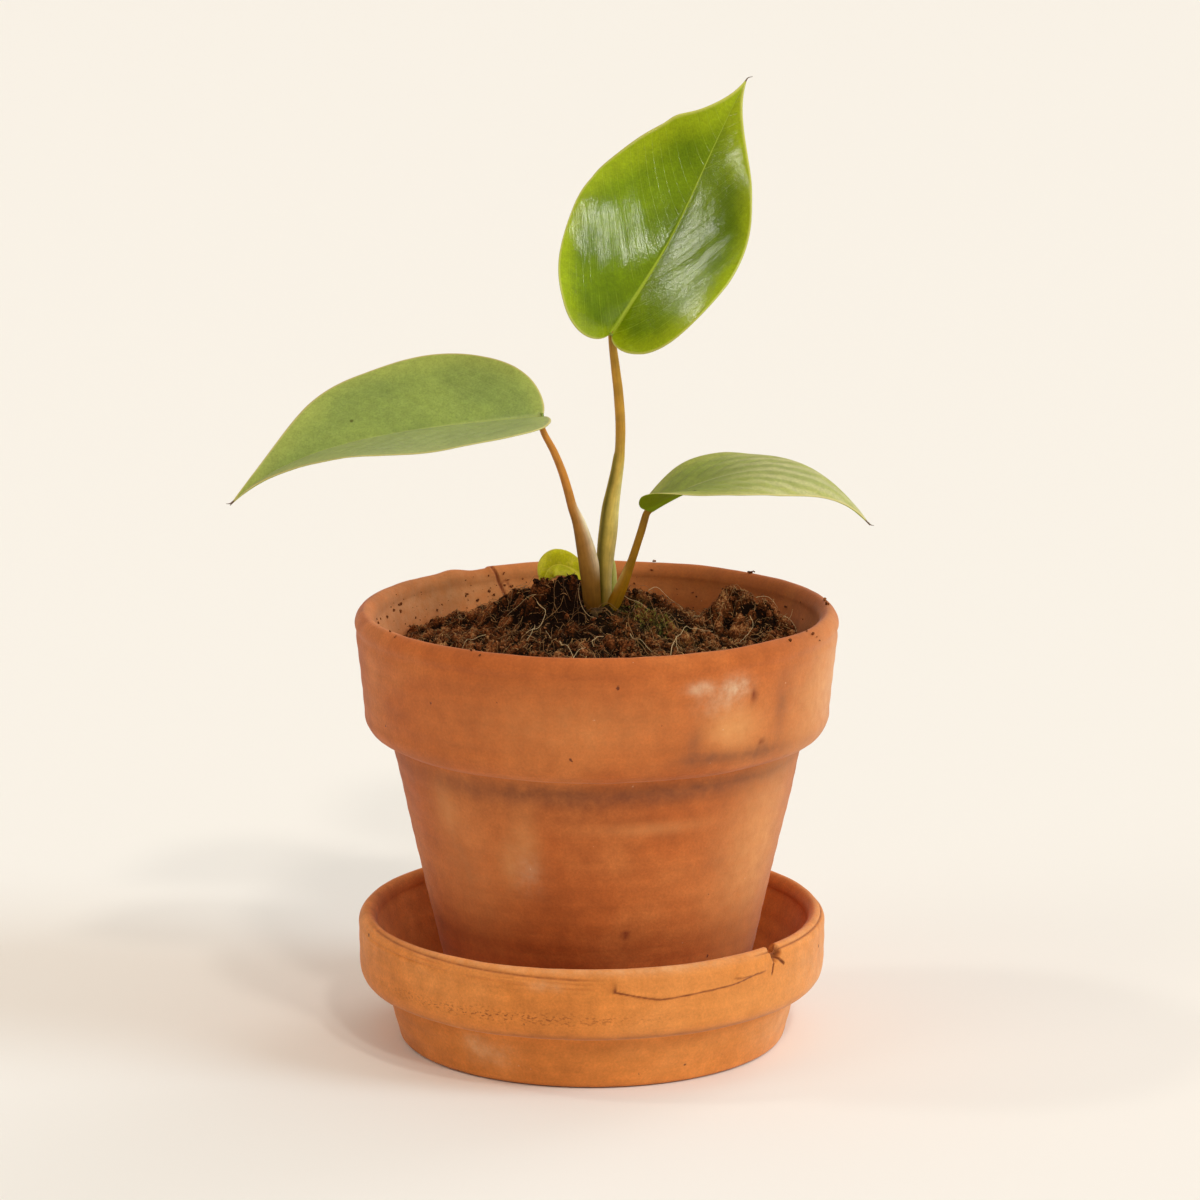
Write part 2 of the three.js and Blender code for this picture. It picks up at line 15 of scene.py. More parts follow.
import bmesh
import bpy
import numpy as np
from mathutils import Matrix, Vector


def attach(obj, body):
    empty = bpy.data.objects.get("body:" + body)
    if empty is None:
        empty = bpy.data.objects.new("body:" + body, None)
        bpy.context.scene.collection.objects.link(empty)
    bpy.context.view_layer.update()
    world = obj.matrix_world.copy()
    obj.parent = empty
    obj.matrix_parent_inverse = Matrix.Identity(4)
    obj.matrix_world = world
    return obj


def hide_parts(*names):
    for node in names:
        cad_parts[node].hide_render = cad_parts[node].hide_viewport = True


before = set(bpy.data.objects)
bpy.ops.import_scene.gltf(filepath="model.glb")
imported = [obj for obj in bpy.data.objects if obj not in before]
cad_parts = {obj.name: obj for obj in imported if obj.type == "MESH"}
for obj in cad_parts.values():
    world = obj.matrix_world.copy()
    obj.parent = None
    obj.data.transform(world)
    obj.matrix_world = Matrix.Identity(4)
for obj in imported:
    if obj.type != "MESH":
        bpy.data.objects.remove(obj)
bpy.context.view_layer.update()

MM = 0.001
GOLDEN_ANGLE = math.pi * (3.0 - math.sqrt(5.0))
WELD_DISTANCE = 2e-6
LOG = logging.getLogger("philodendron")

Array = np.ndarray
Socket = bpy.types.NodeSocket
Add = Callable[..., Socket]
Row = tuple[float, ...]
Rows = tuple[Row, ...]


class Mask(Enum):
    """The painted masks that a clay surface carries as point attributes. Bloom and ochre also carry painted
    light, stain and scar painted shade.
    """

    BLOOM = "bloom"
    STAIN_AND_PAINTED_SHADE = "stain"
    OCHRE_AND_PAINTED_LIGHT = "ochre"
    SCAR_AND_PAINTED_SHADE = "scar"
    COARSE = "coarse"


class Side(Enum):
    """The two halves of a leaf blade, seen from above with the tip ahead."""

    RIGHT = 0
    LEFT = 1


# Colour and nodes


def linear(colour: str) -> Row:
    """Turns an sRGB hex colour to linear red, green, blue and alpha.

    Args:
        colour: Six hex digits.

    Returns:
        For each share c: c / 12.92 up to 0.04045 and ((c + 0.055) / 1.055)^2.4 above it. Alpha is 1.
    """
    shares = [int(colour[i : i + 2], 16) / 255.0 for i in (0, 2, 4)]
    return *(c / 12.92 if c <= 0.04045 else ((c + 0.055) / 1.055) ** 2.4 for c in shares), 1.0


def add_node(
    tree: bpy.types.NodeTree, kind: str, *values: Any, output: int | str = 0,
    stops: Sequence[tuple[float, str]] = (), sockets: dict[int, Any] | None = None, **named: Any,
) -> Socket | None:
    """Adds one node with its settings, its links and, on a colour ramp, its stops.

    Args:
        tree: The material's node tree.
        kind: The node's type name without the ShaderNode prefix.
        values: Numbers, hex colours or other nodes' outputs for the first sockets, in order.
        output: Which of the node's outputs is wanted.
        stops: Place and hex colour of each stop of a colour ramp.
        sockets: More of the values, by the socket's number.
        named: Values by the socket's name, with _ for a space, and the node's own settings in small letters.

    Returns:
        The wanted output, if the node has any.
    """
    node = tree.nodes.new("ShaderNode" + kind)
    given = dict(enumerate(values)) | (sockets or {})
    for key, value in named.items():
        if key.islower():
            setattr(node, key, value)
        else:
            given[key.replace("_", " ")] = value
    for key, value in given.items():
        if isinstance(value, Socket):
            tree.links.new(value, node.inputs[key])
        else:
            node.inputs[key].default_value = linear(value) if isinstance(value, str) else value
    for i, (place, colour) in enumerate(stops):
        element = node.color_ramp.elements[i] if i < 2 else node.color_ramp.elements.new(place)
        element.position = place
        element.color = linear(colour)
    return node.outputs[output] if len(node.outputs) else None


def washed(add: Add, colour: Socket | str, *washes: tuple[Socket, str]) -> Socket:
    """A colour with washes laid over it in turn, each where its share says: (1 - s) colour + s wash."""
    for share, tint in washes:
        colour = add("Mix", share, sockets={6: colour, 7: tint}, output=2, data_type="RGBA")
    return colour


def varied(add: Add, colour: Socket, *grains: tuple[Socket, float]) -> Socket:
    """A colour that each grain makes darker and lighter: times 1 - depth to 1 + depth."""
    for grain, depth in grains:
        shade = add("MapRange", grain, 0.3, 0.7, 1 - depth, 1 + depth)
        colour = add("VectorMath", colour, Scale=shade, operation="SCALE")
    return colour


def summed(add: Add, *parts: tuple[Socket, float]) -> Socket:
    """The sum of the parts, each times its share."""
    total: Socket | float = 0.0
    for part, share in parts:
        total = add("Math", part, share, total, operation="MULTIPLY_ADD")
    return total


# Meshes


def grid_faces(rows: int, columns: int, closed: bool = False) -> Array:
    """The quads of a grid of points, row by row: (i, j), (i, j + 1), (i + 1, j + 1), (i + 1, j).

    Args:
        rows: Rows of points.
        columns: Columns of points.
        closed: True where the last column joins the first one.

    Returns:
        One row of four point numbers a quad.
    """
    i, j = np.meshgrid(np.arange(rows - 1), np.arange(columns if closed else columns - 1), indexing="ij")
    corners = [(i, j), (i, j + 1), (i + 1, j + 1), (i + 1, j)]
    return np.stack([(row * columns + column % columns).ravel() for row, column in corners], axis=-1)


def grid_rim(rows: int, columns: int) -> Array:
    """The numbers of a grid's outer points, once round."""
    number = np.arange(rows * columns).reshape(rows, columns)
    return np.concatenate([number[0, :-1], number[:-1, -1], number[-1, :0:-1], number[:0:-1, 0]])


def loop_faces(upper: Array, lower: Array) -> Array:
    """The quads between two closed loops of point numbers."""
    return np.stack([upper, lower, np.roll(lower, -1), np.roll(upper, -1)], axis=-1)


def make_piece(
    name: str, points: Array, faces: Sequence[Array], material: bpy.types.Material,
    nodes: Sequence[str] = (), attributes: dict[str, Array] | None = None, weld: bool = False,
    smooth: bool = True,
) -> None:
    """Makes one piece of the plant from points in millimetres.

    Args:
        name: The piece's name.
        points: An array of points, three numbers each.
        faces: Arrays of point numbers, one row a face.
        material: Its finish.
        nodes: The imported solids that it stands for.
        attributes: One number a point for each named attribute.
        weld: True where points that meet are joined, as at poles and tips.
        smooth: False for broken bits with flat faces.
    """
    mesh = bpy.data.meshes.new(name)
    flat = np.asarray(points, dtype=np.float64).reshape(-1, 3)
    mesh.from_pydata((flat * MM).tolist(), [], [face for block in faces for face in block.tolist()])
    for key, values in (attributes or {}).items():
        layer = mesh.attributes.new(key, "FLOAT", "POINT")
        layer.data.foreach_set("value", np.asarray(values, dtype=np.float32).ravel())
    if weld:
        work = bmesh.new()
        work.from_mesh(mesh)
        bmesh.ops.remove_doubles(work, verts=work.verts, dist=WELD_DISTANCE)
        work.to_mesh(mesh)
        work.free()
    mesh.validate()
    mesh.polygons.foreach_set("use_smooth", np.full(len(mesh.polygons), smooth))
    mesh.materials.append(material)
    mesh.update()
    piece = bpy.data.objects.new(name, mesh)
    bpy.context.scene.collection.objects.link(piece)
    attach(piece, "root")
    if nodes:
        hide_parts(*nodes)
    LOG.info("%s: %d points, %d faces", name, len(mesh.vertices), len(mesh.polygons))


# Shapes as whole arrays


def smoothstep(low: float | Array, high: float | Array, value: Array) -> Array:
    """0 below low, 1 above high and 3 s^2 - 2 s^3 between them, where s is the share of the way."""
    share = np.clip((value - low) / (high - low), 0.0, 1.0)
    return share * share * (3.0 - 2.0 * share)


def between(value: Array, rise: Row, fall: Row) -> Array:
    """Goes up from 0 to 1 over the two numbers of rise, and down to 0 over those of fall."""
    return smoothstep(*rise, value) * (1.0 - smoothstep(*fall, value))


def hump(value: Array, middle: float | Array, width: float) -> Array:
    """exp(-((value - middle) / width)^2)."""
    return np.exp(-(((value - middle) / width) ** 2))


def lattice_value(cell: Array, seed: int) -> Array:
    """A random number from 0 to 1 for each whole-number place, picked from a seeded table."""
    table = np.random.default_rng(seed).random(8192)
    primes = np.array([73856093, 19349663, 83492791])[: cell.shape[-1]]
    mixed = np.sum(cell * primes, axis=-1)
    return table[np.bitwise_and(mixed ^ (mixed >> 13), 8191)]


def soft_noise(place: Array, size: float, seed: int) -> Array:
    """Smooth noise from -1 to 1: random values on a lattice, blended by 3 s^2 - 2 s^3 between its places.

    Args:
        place: Points with two or three numbers each.
        size: The lattice's spacing in the same unit.
        seed: Picks the random values.

    Returns:
        One number a point.
    """
    scaled = place / size
    cell = np.floor(scaled).astype(np.int64)
    share = scaled - cell
    share = share * share * (3.0 - 2.0 * share)
    total = np.zeros(place.shape[:-1])
    for corner in itertools.product((0, 1), repeat=place.shape[-1]):
        weight = np.prod(np.where(np.array(corner) == 1, share, 1.0 - share), axis=-1)
        total += weight * lattice_value(cell + np.array(corner), seed)
    return 2.0 * total - 1.0


def crumb_relief(place: Array, size: float, seed: int) -> Array:
    """Height of a layer of crumbs: the highest of the balls over a point, sqrt(r^2 - d^2).

    Each lattice cell holds one ball at a random place in it, with a radius of 0.35 to 0.75 of a cell.

    Args:
        place: Points with two numbers each.
        size: The lattice's spacing.
        seed: Picks places and radii.

    Returns:
        One height a point, in the unit of size.
    """
    scaled = place / size
    cell = np.floor(scaled).astype(np.int64)
    height = np.zeros(place.shape[:-1])
    for step in itertools.product((-1, 0, 1), repeat=2):
        near = cell + np.array(step)
        jitter = np.stack([lattice_value(near, seed), lattice_value(near, seed + 1)], axis=-1)
        radius = 0.35 + 0.4 * lattice_value(near, seed + 2)
        gap = np.sum((scaled - near - 0.15 - 0.7 * jitter) ** 2, axis=-1)
        height = np.maximum(height, np.sqrt(np.maximum(radius**2 - gap, 0.0)))
    return size * height


def arc(centre: Row, half: Row, start: float, end: float, step: float) -> Array:
    """Points of an elliptical arc in a turned profile: centre + half * (cos a, sin a), a in degrees.

    Args:
        centre: Radius and height of its centre.
        half: Its half axes.
        start: First angle.
        end: Last angle.
        step: Rough distance between points.

    Returns:
        Rows of radius and height.
    """
    count = max(3, int(abs(math.radians(end - start)) * max(half) / step) + 1)
    angle = np.radians(np.linspace(start, end, count))
    return np.stack([centre[0] + half[0] * np.cos(angle), centre[1] + half[1] * np.sin(angle)], axis=-1)


def straight(start: Row, end: Row, step: float) -> Array:
    """Points inside a straight line of a profile, at about equal steps and without its two ends."""
    count = max(2, int(math.dist(start, end) / step) + 1)
    share = np.linspace(0.0, 1.0, count + 1)[1:-1, None]
    return np.array(start) + (np.array(end) - np.array(start)) * share


def bezier(control: Array, t: Array) -> Array:
    """A cubic curve: (1-t)^3 a + 3 (1-t)^2 t b + 3 (1-t) t^2 c + t^3 d."""
    a, b, c, d = (np.asarray(p, dtype=float) for p in control)
    s = t[..., None]
    return (1 - s) ** 3 * a + 3 * (1 - s) ** 2 * s * b + 3 * (1 - s) * s**2 * c + s**3 * d


def unit(vectors: Array) -> Array:
    """Vectors made one long."""
    return vectors / np.maximum(np.linalg.norm(vectors, axis=-1, keepdims=True), 1e-12)


def walked(line: Array) -> Array:
    """The way along a line of points up to each of them."""
    return np.concatenate([[0.0], np.cumsum(np.linalg.norm(np.diff(line, axis=0), axis=1))])


def smooth_path(stations: Array, count: int) -> Array:
    """A Catmull-Rom curve through the stations, at equal steps of their number.

    Each stretch is ((2 p1) + (p2-p0) s + (2 p0-5 p1+4 p2-p3) s^2 + (3 p1-p0-3 p2+p3) s^3) / 2.

    Args:
        stations: Rows of numbers to pass through.
        count: How many rows to return.

    Returns:
        The rows along the curve.
    """
    ends = [2 * stations[:1] - stations[1:2], stations, 2 * stations[-1:] - stations[-2:-1]]
    row = np.concatenate(ends)
    place = np.linspace(0.0, len(stations) - 1.0, count)
    i = np.minimum(place.astype(int), len(stations) - 2)
    s = (place - i)[:, None]
    p0, p1, p2, p3 = row[i], row[i + 1], row[i + 2], row[i + 3]
    cubic = (3 * p1 - p0 - 3 * p2 + p3) * s**3
    return 0.5 * (2 * p1 + (p2 - p0) * s + (2 * p0 - 5 * p1 + 4 * p2 - p3) * s**2 + cubic)


def tubes(paths: Array, radii: Array, sides: int) -> tuple[Array, list[Array]]:
    """Round threads along many paths at once: path + r (cos a u + sin a v), with u and v across the path.

    Args:
        paths: Threads by points by three numbers.
        radii: Threads by points.
        sides: Corners of a section.

    Returns:
        The points and their faces, closed at both ends.
    """
    threads, steps = paths.shape[:2]
    tangent = unit(np.gradient(paths, axis=1))
    helper = np.where(np.abs(tangent[..., 2:]) > 0.9, np.array([1.0, 0.0, 0.0]), np.array([0.0, 0.0, 1.0]))
    across = unit(np.cross(helper, tangent))
    along = np.cross(tangent, across)
    angle = 2 * math.pi * np.arange(sides)[:, None] / sides
    ring = across[:, :, None] * np.cos(angle) + along[:, :, None] * np.sin(angle)
    points = paths[:, :, None] + ring * radii[:, :, None, None]
    one = grid_faces(steps, sides, closed=True)
    offset = np.arange(threads)[:, None, None] * steps * sides
    start = np.arange(sides)[::-1][None, :] + offset[:, :, 0]
    end = (np.arange(sides) + (steps - 1) * sides)[None, :] + offset[:, :, 0]
    return points.reshape(-1, 3), [(one[None] + offset).reshape(-1, 4), start, end]


# Finishes


@dataclass(frozen=True)
class Finish:
    """What every finish shares: a name, what it reads from the mesh, and a material made of its shader."""

    name: str
    reads: ClassVar[tuple[str, ...]] = ()

    def shader(self, add: Add, place: Socket, *painted: Socket) -> Socket:
        """Adds the finish's nodes.

        Args:
            add: Adds one node to the material.
            place: The point in Object coordinates.
            painted: The mesh's attributes that the finish reads.

        Returns:
            The surface.
        """
        raise NotImplementedError

    def material(self) -> bpy.types.Material:
        """Builds the material."""
        material = bpy.data.materials.new(self.name)
        material.use_nodes = True
        material.node_tree.nodes.clear()
        add = partial(add_node, material.node_tree)
        painted = [add("Attribute", output="Fac", attribute_name=name) for name in self.reads]
        add("OutputMaterial", self.shader(add, add("TexCoord", output="Object"), *painted))
        return material


@dataclass(frozen=True)
class FiredClay(Finish):
    """Unglazed terracotta, turned and fired at low heat.

    Its open body scatters light almost evenly, so there is no highlight. What the eye gets is warm
    orange patches from the kiln, faint turning lines, pits and grit, and pale bloom from hard water.
    The bloom and ochre colours also lay painted light on the lit side, and the stain and scar colours
    painted shade under the band and the lip, in grooves, at the foot and on the shaded inner wall.
    """

    deep: str
    body: str
    light: str
    bloom: str
    ochre: str = "d38a45"
    scar: str = "7a3216"
    stain: str = "6f4632"
    pit: str = "5c2a18"
    reads: ClassVar[tuple[str, ...]] = tuple(mask.value for mask in Mask)

    def shader(self, add: Add, place: Socket, *painted: Socket) -> Socket:
        """Adds the clay, with the surface's masks."""
        masks = dict(zip(Mask, painted))

        # Kiln patches of 20 to 50 mm
        patch = add("TexNoise", Vector=place, Scale=24.0, Detail=4.0, Roughness=0.55)
        colour = add("ValToRGB", patch, stops=[(0.32, self.deep), (0.5, self.body), (0.7, self.light)])

        # Mottling of 5 mm, faint turning lines 2 mm apart and grit of 0.7 mm
        mottle = add("TexNoise", Vector=place, Scale=190.0, Detail=4.0, Roughness=0.6)
        level = add("Mapping", Vector=place, Scale=(0.05, 0.05, 1.0))
        turned = add("TexNoise", Vector=level, Scale=500.0)
        grain = add("TexNoise", Vector=place, Scale=1400.0, Detail=4.0, Roughness=0.7)
        colour = varied(add, colour, (mottle, 0.1), (turned, 0.045), (grain, 0.13))

        # Ochre wash, stain, bloom, fresh broken clay and painted light and shade, each broken up more or less
        # by a 3 mm cloud
        cloud = add("TexNoise", Vector=place, Scale=330.0, Detail=5.0, Roughness=0.65)
        for mask, tint, least in (
            (Mask.OCHRE_AND_PAINTED_LIGHT, self.ochre, 0.7), (Mask.STAIN_AND_PAINTED_SHADE, self.stain, 0.55),
            (Mask.BLOOM, self.bloom, 0.3), (Mask.SCAR_AND_PAINTED_SHADE, self.scar, 0.5),
        ):
            broken = add("MapRange", cloud, 0.35, 0.65, least)
            share = add("Math", masks[mask], broken, operation="MULTIPLY", use_clamp=True)
            colour = washed(add, colour, (share, tint))

        # Ragged dark pits up to 0.8 mm across in a quarter of 6 mm cells, and pale grit in a few of 3 mm
        ragged = (0.0011, 0.0011, 0.0011)
        bent = add("VectorMath", grain.node.outputs["Color"], ragged, place, operation="MULTIPLY_ADD")
        spots = []
        for scale, rare, wide, strength in ((165.0, 0.74, 0.1, 0.85), (300.0, 0.84, 0.09, 0.5)):
            cells = add("TexVoronoi", Vector=bent, Scale=scale)
            width = add("MapRange", add("SeparateColor", cells.node.outputs["Color"]), rare, 1.0, 0.0, wide)
            depth = add("Math", width, cells, operation="SUBTRACT")
            spots.append(add("MapRange", depth, 0.0, 0.03, 0.0, strength))

        # Coarse strips: pits 1 mm long, dragged level by the turning
        dragged = add("Mapping", Vector=place, Scale=(0.6, 0.6, 1.2))
        dashes = add("TexNoise", Vector=dragged, Scale=1700.0)
        opened = add("MapRange", dashes, 0.54, 0.64, 0.0, 0.7)
        torn = add("Math", opened, masks[Mask.COARSE], operation="MULTIPLY")
        colour = washed(add, colour, (spots[0], self.pit), (spots[1], self.bloom), (torn, self.scar))

        height = summed(add, (turned, 0.7), (grain, 0.5), (torn, -2.0), (spots[0], -1.5))
        bump = add("Bump", Strength=0.55, Distance=0.00022, Height=height)
        return add(
            "BsdfPrincipled", Base_Color=colour, Roughness=0.7, IOR=1.5, Specular_IOR_Level=0.22,
            Sheen_Weight=0.12, Sheen_Roughness=0.4, Normal=bump,
        )


@dataclass(frozen=True)
class PottingMix(Finish):
    """Moist potting mix of coir, bark crumbs and peat, crumbled by hand.

    It is dark and broken, with reddish and tan crumbs in it and no shine, and greener where moss starts.
    """

    dark: str = "1c0e06"
    middle: str = "532a0e"
    red: str = "8a4c26"
    tan: str = "c48c58"
    moss: str = "66602a"
    reads: ClassVar[tuple[str, ...]] = ("tone", "moss")

    def shader(self, add: Add, place: Socket, tone: Socket, moss: Socket) -> Socket:
        """Adds the mix, paler with the tone and greener with the moss."""

        # Flecks of 0.4 mm over lumps of 3 mm
        fleck = add("TexNoise", Vector=place, Scale=1900.0, Detail=4.0, Roughness=0.7)
        lump = add("TexNoise", Vector=place, Scale=330.0, Detail=3.0)
        share = add("MapRange", summed(add, (tone, 1.0), (lump, 0.7), (fleck, 2.6)), 1.3, 2.9)
        stops = [(0.2, self.dark), (0.48, self.middle), (0.72, self.red), (0.97, self.tan)]
        colour = add("ValToRGB", share, stops=stops)
        speckled = add("MapRange", fleck, 0.48, 0.56)
        green = add("Math", moss, speckled, operation="MULTIPLY", use_clamp=True)
        return add(
            "BsdfPrincipled", Base_Color=washed(add, colour, (green, self.moss)), Roughness=0.9, IOR=1.45,
            Specular_IOR_Level=0.12, Normal=add("Bump", Strength=1.0, Distance=0.0006, Height=fleck),
        )


@dataclass(frozen=True)
class DryFibre(Finish):
    """Coir threads and fine dead roots: straw-coloured, slightly silky along their length."""

    light: str
    dark: str
    reads: ClassVar[tuple[str, ...]] = ("tone",)

    def shader(self, add: Add, place: Socket, tone: Socket) -> Socket:
        """Adds the fibre, with a tone that changes from thread to thread."""
        fleck = add("TexNoise", Vector=place, Scale=900.0)
        share = add("MapRange", summed(add, (tone, 1.0), (fleck, 0.5)), 0.1, 1.4)
        colour = add("ValToRGB", share, stops=[(0.0, self.dark), (1.0, self.light)])
        return add("BsdfPrincipled", Base_Color=colour, Roughness=0.55, IOR=1.5)


@dataclass(frozen=True)
class RootBark(Finish):
    """Corky skin of the rootstock: brown, dull, with cracks across the stem every 2 mm or so."""

    def shader(self, add: Add, place: Socket) -> Socket:
        """Adds the bark."""
        level = add("Mapping", Vector=place, Scale=(0.3, 0.3, 1.0))
        ring = add("TexNoise", Vector=level, Scale=700.0, Detail=4.0)
        colour = add("ValToRGB", ring, stops=[(0.35, "3c2810"), (0.7, "8a6a34")])
        bump = add("Bump", Strength=0.6, Distance=0.0004, Height=ring)
        return add("BsdfPrincipled", Base_Color=colour, Roughness=0.75, Normal=bump)


@dataclass(frozen=True)
class MattPaper(Finish):
    """Uncoated paper of the studio floor: pale, with a faint grain and next to no shine."""

    tint: str

    def shader(self, add: Add, place: Socket) -> Socket:
        """Adds the paper."""
        grain = add("TexNoise", Vector=place, Scale=900.0)
        bump = add("Bump", Strength=0.05, Distance=0.0001, Height=grain)
        return add(
            "BsdfPrincipled", Base_Color=self.tint, Roughness=0.95, Specular_IOR_Level=0.1, Normal=bump
        )


@dataclass(frozen=True)
class StalkSkin(Finish):
    """Living petiole skin: a waxy cuticle over fine lengthwise fibres.

    It is tan to orange where the light has ripened it, olive in the groove, and the thin sheath wing is
    pale and dry. The wax gives a soft highlight along the stalk.
    """

    foot: str
    middle: str
    top: str
    groove: str
    wing: str
    roughness: float = 0.42
    reads: ClassVar[tuple[str, ...]] = ("rise", "groove", "wing", "turn", "reach")

    def shader(self, add: Add, place: Socket, *painted: Socket) -> Socket:
        """Adds the skin, with the stalk's attributes."""
        rise, groove, wing, turn, reach = painted
        colour = add("ValToRGB", rise, stops=[(0.07, self.foot), (0.3, self.middle), (0.65, self.top)])
        colour = washed(add, colour, (groove, self.groove), (wing, self.wing))

        # Fibres 0.3 mm apart that run up the stalk, and blotches of 3 mm
        way = add("CombineXYZ", turn, 0.0, reach)
        fibre = add("TexNoise", Vector=way, Scale=3.0, Detail=3.0, Roughness=0.6)
        blotch = add("TexNoise", Vector=place, Scale=330.0, Detail=4.0, Roughness=0.6)
        return add(
            "BsdfPrincipled", Base_Color=varied(add, colour, (fibre, 0.16), (blotch, 0.14)),
            Roughness=self.roughness, IOR=1.45, Specular_IOR_Level=0.25, Subsurface_Weight=0.12,
            Subsurface_Scale=0.0008, Subsurface_Radius=(1.0, 0.8, 0.25),
            Normal=add("Bump", Strength=0.35, Distance=0.0001, Height=fibre),
        )


@dataclass(frozen=True)
class LeafSkin(Finish):
    """Leathery leaf with a smooth waxy cuticle, glossy above and duller below.

    The eye gets broad soft reflections with a slightly grainy edge, a pale midrib, faint side veins
    that arch to the tip, yellower margins, which are painted light passing through the thin edge, and a
    hair-thin dry rim. The sheen colour is a painted reflection of the pale surroundings: painted_sheen_at
    holds the sign of the side that has more of it, and its share on the other half and on that side. The
    highlight bands are painted highlights along the blade.
    """

    deep: str
    green: str
    yellow: str
    rib: str
    rim: str
    under: str
    roughness: float
    vein: float
    midrib: float = 0.85
    margin: float = 7.0
    blotch: float = 0.0
    dry_tip: float = 0.975
    painted_sheen: str = "9aa67c"
    painted_sheen_at: Row = (1.0, 0.0, 0.0)
    painted_highlight_bands: float = 0.0
    specular: float = 0.35
    reads: ClassVar[tuple[str, ...]] = ("across", "vein", "edge", "under", "ahead")

    def shader(self, add: Add, place: Socket, *painted: Socket) -> Socket:
        """Adds the skin, with the blade's attributes."""
        across, vein, edge, under, ahead = painted
        soft = partial(add, "MapRange", interpolation_type="SMOOTHSTEP")

        # Two greens in clouds of 15 mm, a yellower margin that is painted light passing through the thin
        # edge, a yellower tip, and pale blotches of 2 mm
        cloud = add("TexNoise", Vector=place, Scale=62.0, Detail=4.0, Roughness=0.55)
        inward = summed(add, (edge, 1.0), (cloud, -5.0))
        outer = soft(inward, self.margin - 2.5, -2.5, 0.0, 0.75)
        ripe = add("MapRange", ahead, 0.8, 1.0, 0.0, 0.6)
        spots = add("MapRange", add("TexNoise", Vector=place, Scale=420.0), 0.52, 0.62, 0.0, self.blotch)
        colour = washed(
            add, self.deep, (add("MapRange", cloud, 0.36, 0.64), self.green),
            (outer, self.yellow), (ripe, self.yellow), (spots, self.rib),
        )

        # Painted reflection on the paler half, and painted highlight bands 4.4 mm apart along the blade
        side, least, most = self.painted_sheen_at
        pale = add("MapRange", add("Math", across, side, operation="MULTIPLY"), -0.3, 0.6, least, most)
        stripe = add("Math", summed(add, (across, 1.0), (cloud, 6.0)), 4.4, operation="DIVIDE")
        band = soft(add("Math", stripe, 0.5, operation="PINGPONG"), 0.1, 0.4, 0.4)
        streak = add("Math", band, soft(ahead, 0.2, 0.6, 0.0, self.painted_highlight_bands), operation="MULTIPLY")
        pale = add("Math", pale, streak, operation="ADD", use_clamp=True)

        # Mottling: flecks of 3 mm and of 1 mm
        flecks = [add("TexNoise", Vector=place, Scale=s, Detail=3.0, Roughness=0.65) for s in (340.0, 1000.0)]
        colour = varied(add, washed(add, colour, (pale, self.painted_sheen)), *((fleck, 0.09) for fleck in flecks))

        # Side veins: one every 4 mm with fainter ones every 1.15 mm, pale and a little sunken
        lines = []
        for spacing, width, strength in ((4.0, 0.05, self.vein), (1.15, 0.2, 0.3 * self.vein)):
            share = add("Math", vein, spacing, operation="DIVIDE")
            lines.append(soft(add("Math", share, 0.5, operation="PINGPONG"), width, 0.0, 0.0, strength))
        veins = add("Math", *lines, operation="ADD")
        seen = add("MapRange", add("TexNoise", Vector=place, Scale=110.0), 0.4, 0.6)
        shown = add("Math", veins, seen, operation="MULTIPLY")

        # The midrib narrows from 2 mm at the stalk to a hair at the tip
        half = add("MapRange", ahead, 0.0, 0.38, 1.0, 0.2)
        ratio = add("Math", add("Math", across, operation="ABSOLUTE"), half, operation="DIVIDE")
        rib = soft(ratio, 1.3, 0.4, 0.0, self.midrib)
        colour = washed(add, colour, (shown, self.rib), (rib, self.rib))

        # Fine cell grain of 0.5 mm, a few brown specks, the dry rim, the paler underside and the dry tip
        cells = add("TexNoise", Vector=place, Scale=2000.0, Detail=3.0, Roughness=0.7)
        speck = add("MapRange", add("TexVoronoi", Vector=place, Scale=75.0), 0.05, 0.025, 0.0, 0.8)
        dry = add("MapRange", edge, 0.6, 0.15, 0.0, 0.7)
        thread = add("MapRange", ahead, self.dry_tip, self.dry_tip + 0.012)
        colour = washed(
            add, varied(add, colour, (cells, 0.1)), (speck, "4e4a1a"), (dry, self.rim),
            (under, self.under), (thread, "6a4c38"),
        )
        gloss = add("MapRange", cells, 0.3, 0.7, self.roughness - 0.04, self.roughness + 0.06)
        height = summed(add, (cells, 0.25), (veins, -1.6), (flecks[1], 1.1))
        return add(
            "BsdfPrincipled", Base_Color=colour, Roughness=summed(add, (gloss, 1.0), (under, 0.2)), IOR=1.48,
            Specular_IOR_Level=self.specular, Subsurface_Weight=0.1, Subsurface_Scale=0.0006,
            Subsurface_Radius=(0.6, 1.0, 0.2),
            Normal=add("Bump", Strength=0.5, Distance=0.00009, Height=height),
        )


# Pot and saucer


@dataclass(frozen=True)
class Patch:
    """One mark on a turned surface: its angle in degrees, its height and its half sizes in millimetres."""

    mask: Mask
    angle: float
    height: float
    wide: float
    high: float
    strength: float
    inside: bool = False

    def over(self, angle: Array, radius: Array, height: Array) -> Array:
        """The mark's strength at points: strength * exp(-u^2 - v^2), u and v in half sizes."""
        turn = (angle - math.radians(self.angle) + math.pi) % (2 * math.pi) - math.pi
        return self.strength * hump(turn * radius, 0.0, self.wide) * hump(height, self.height, self.high)


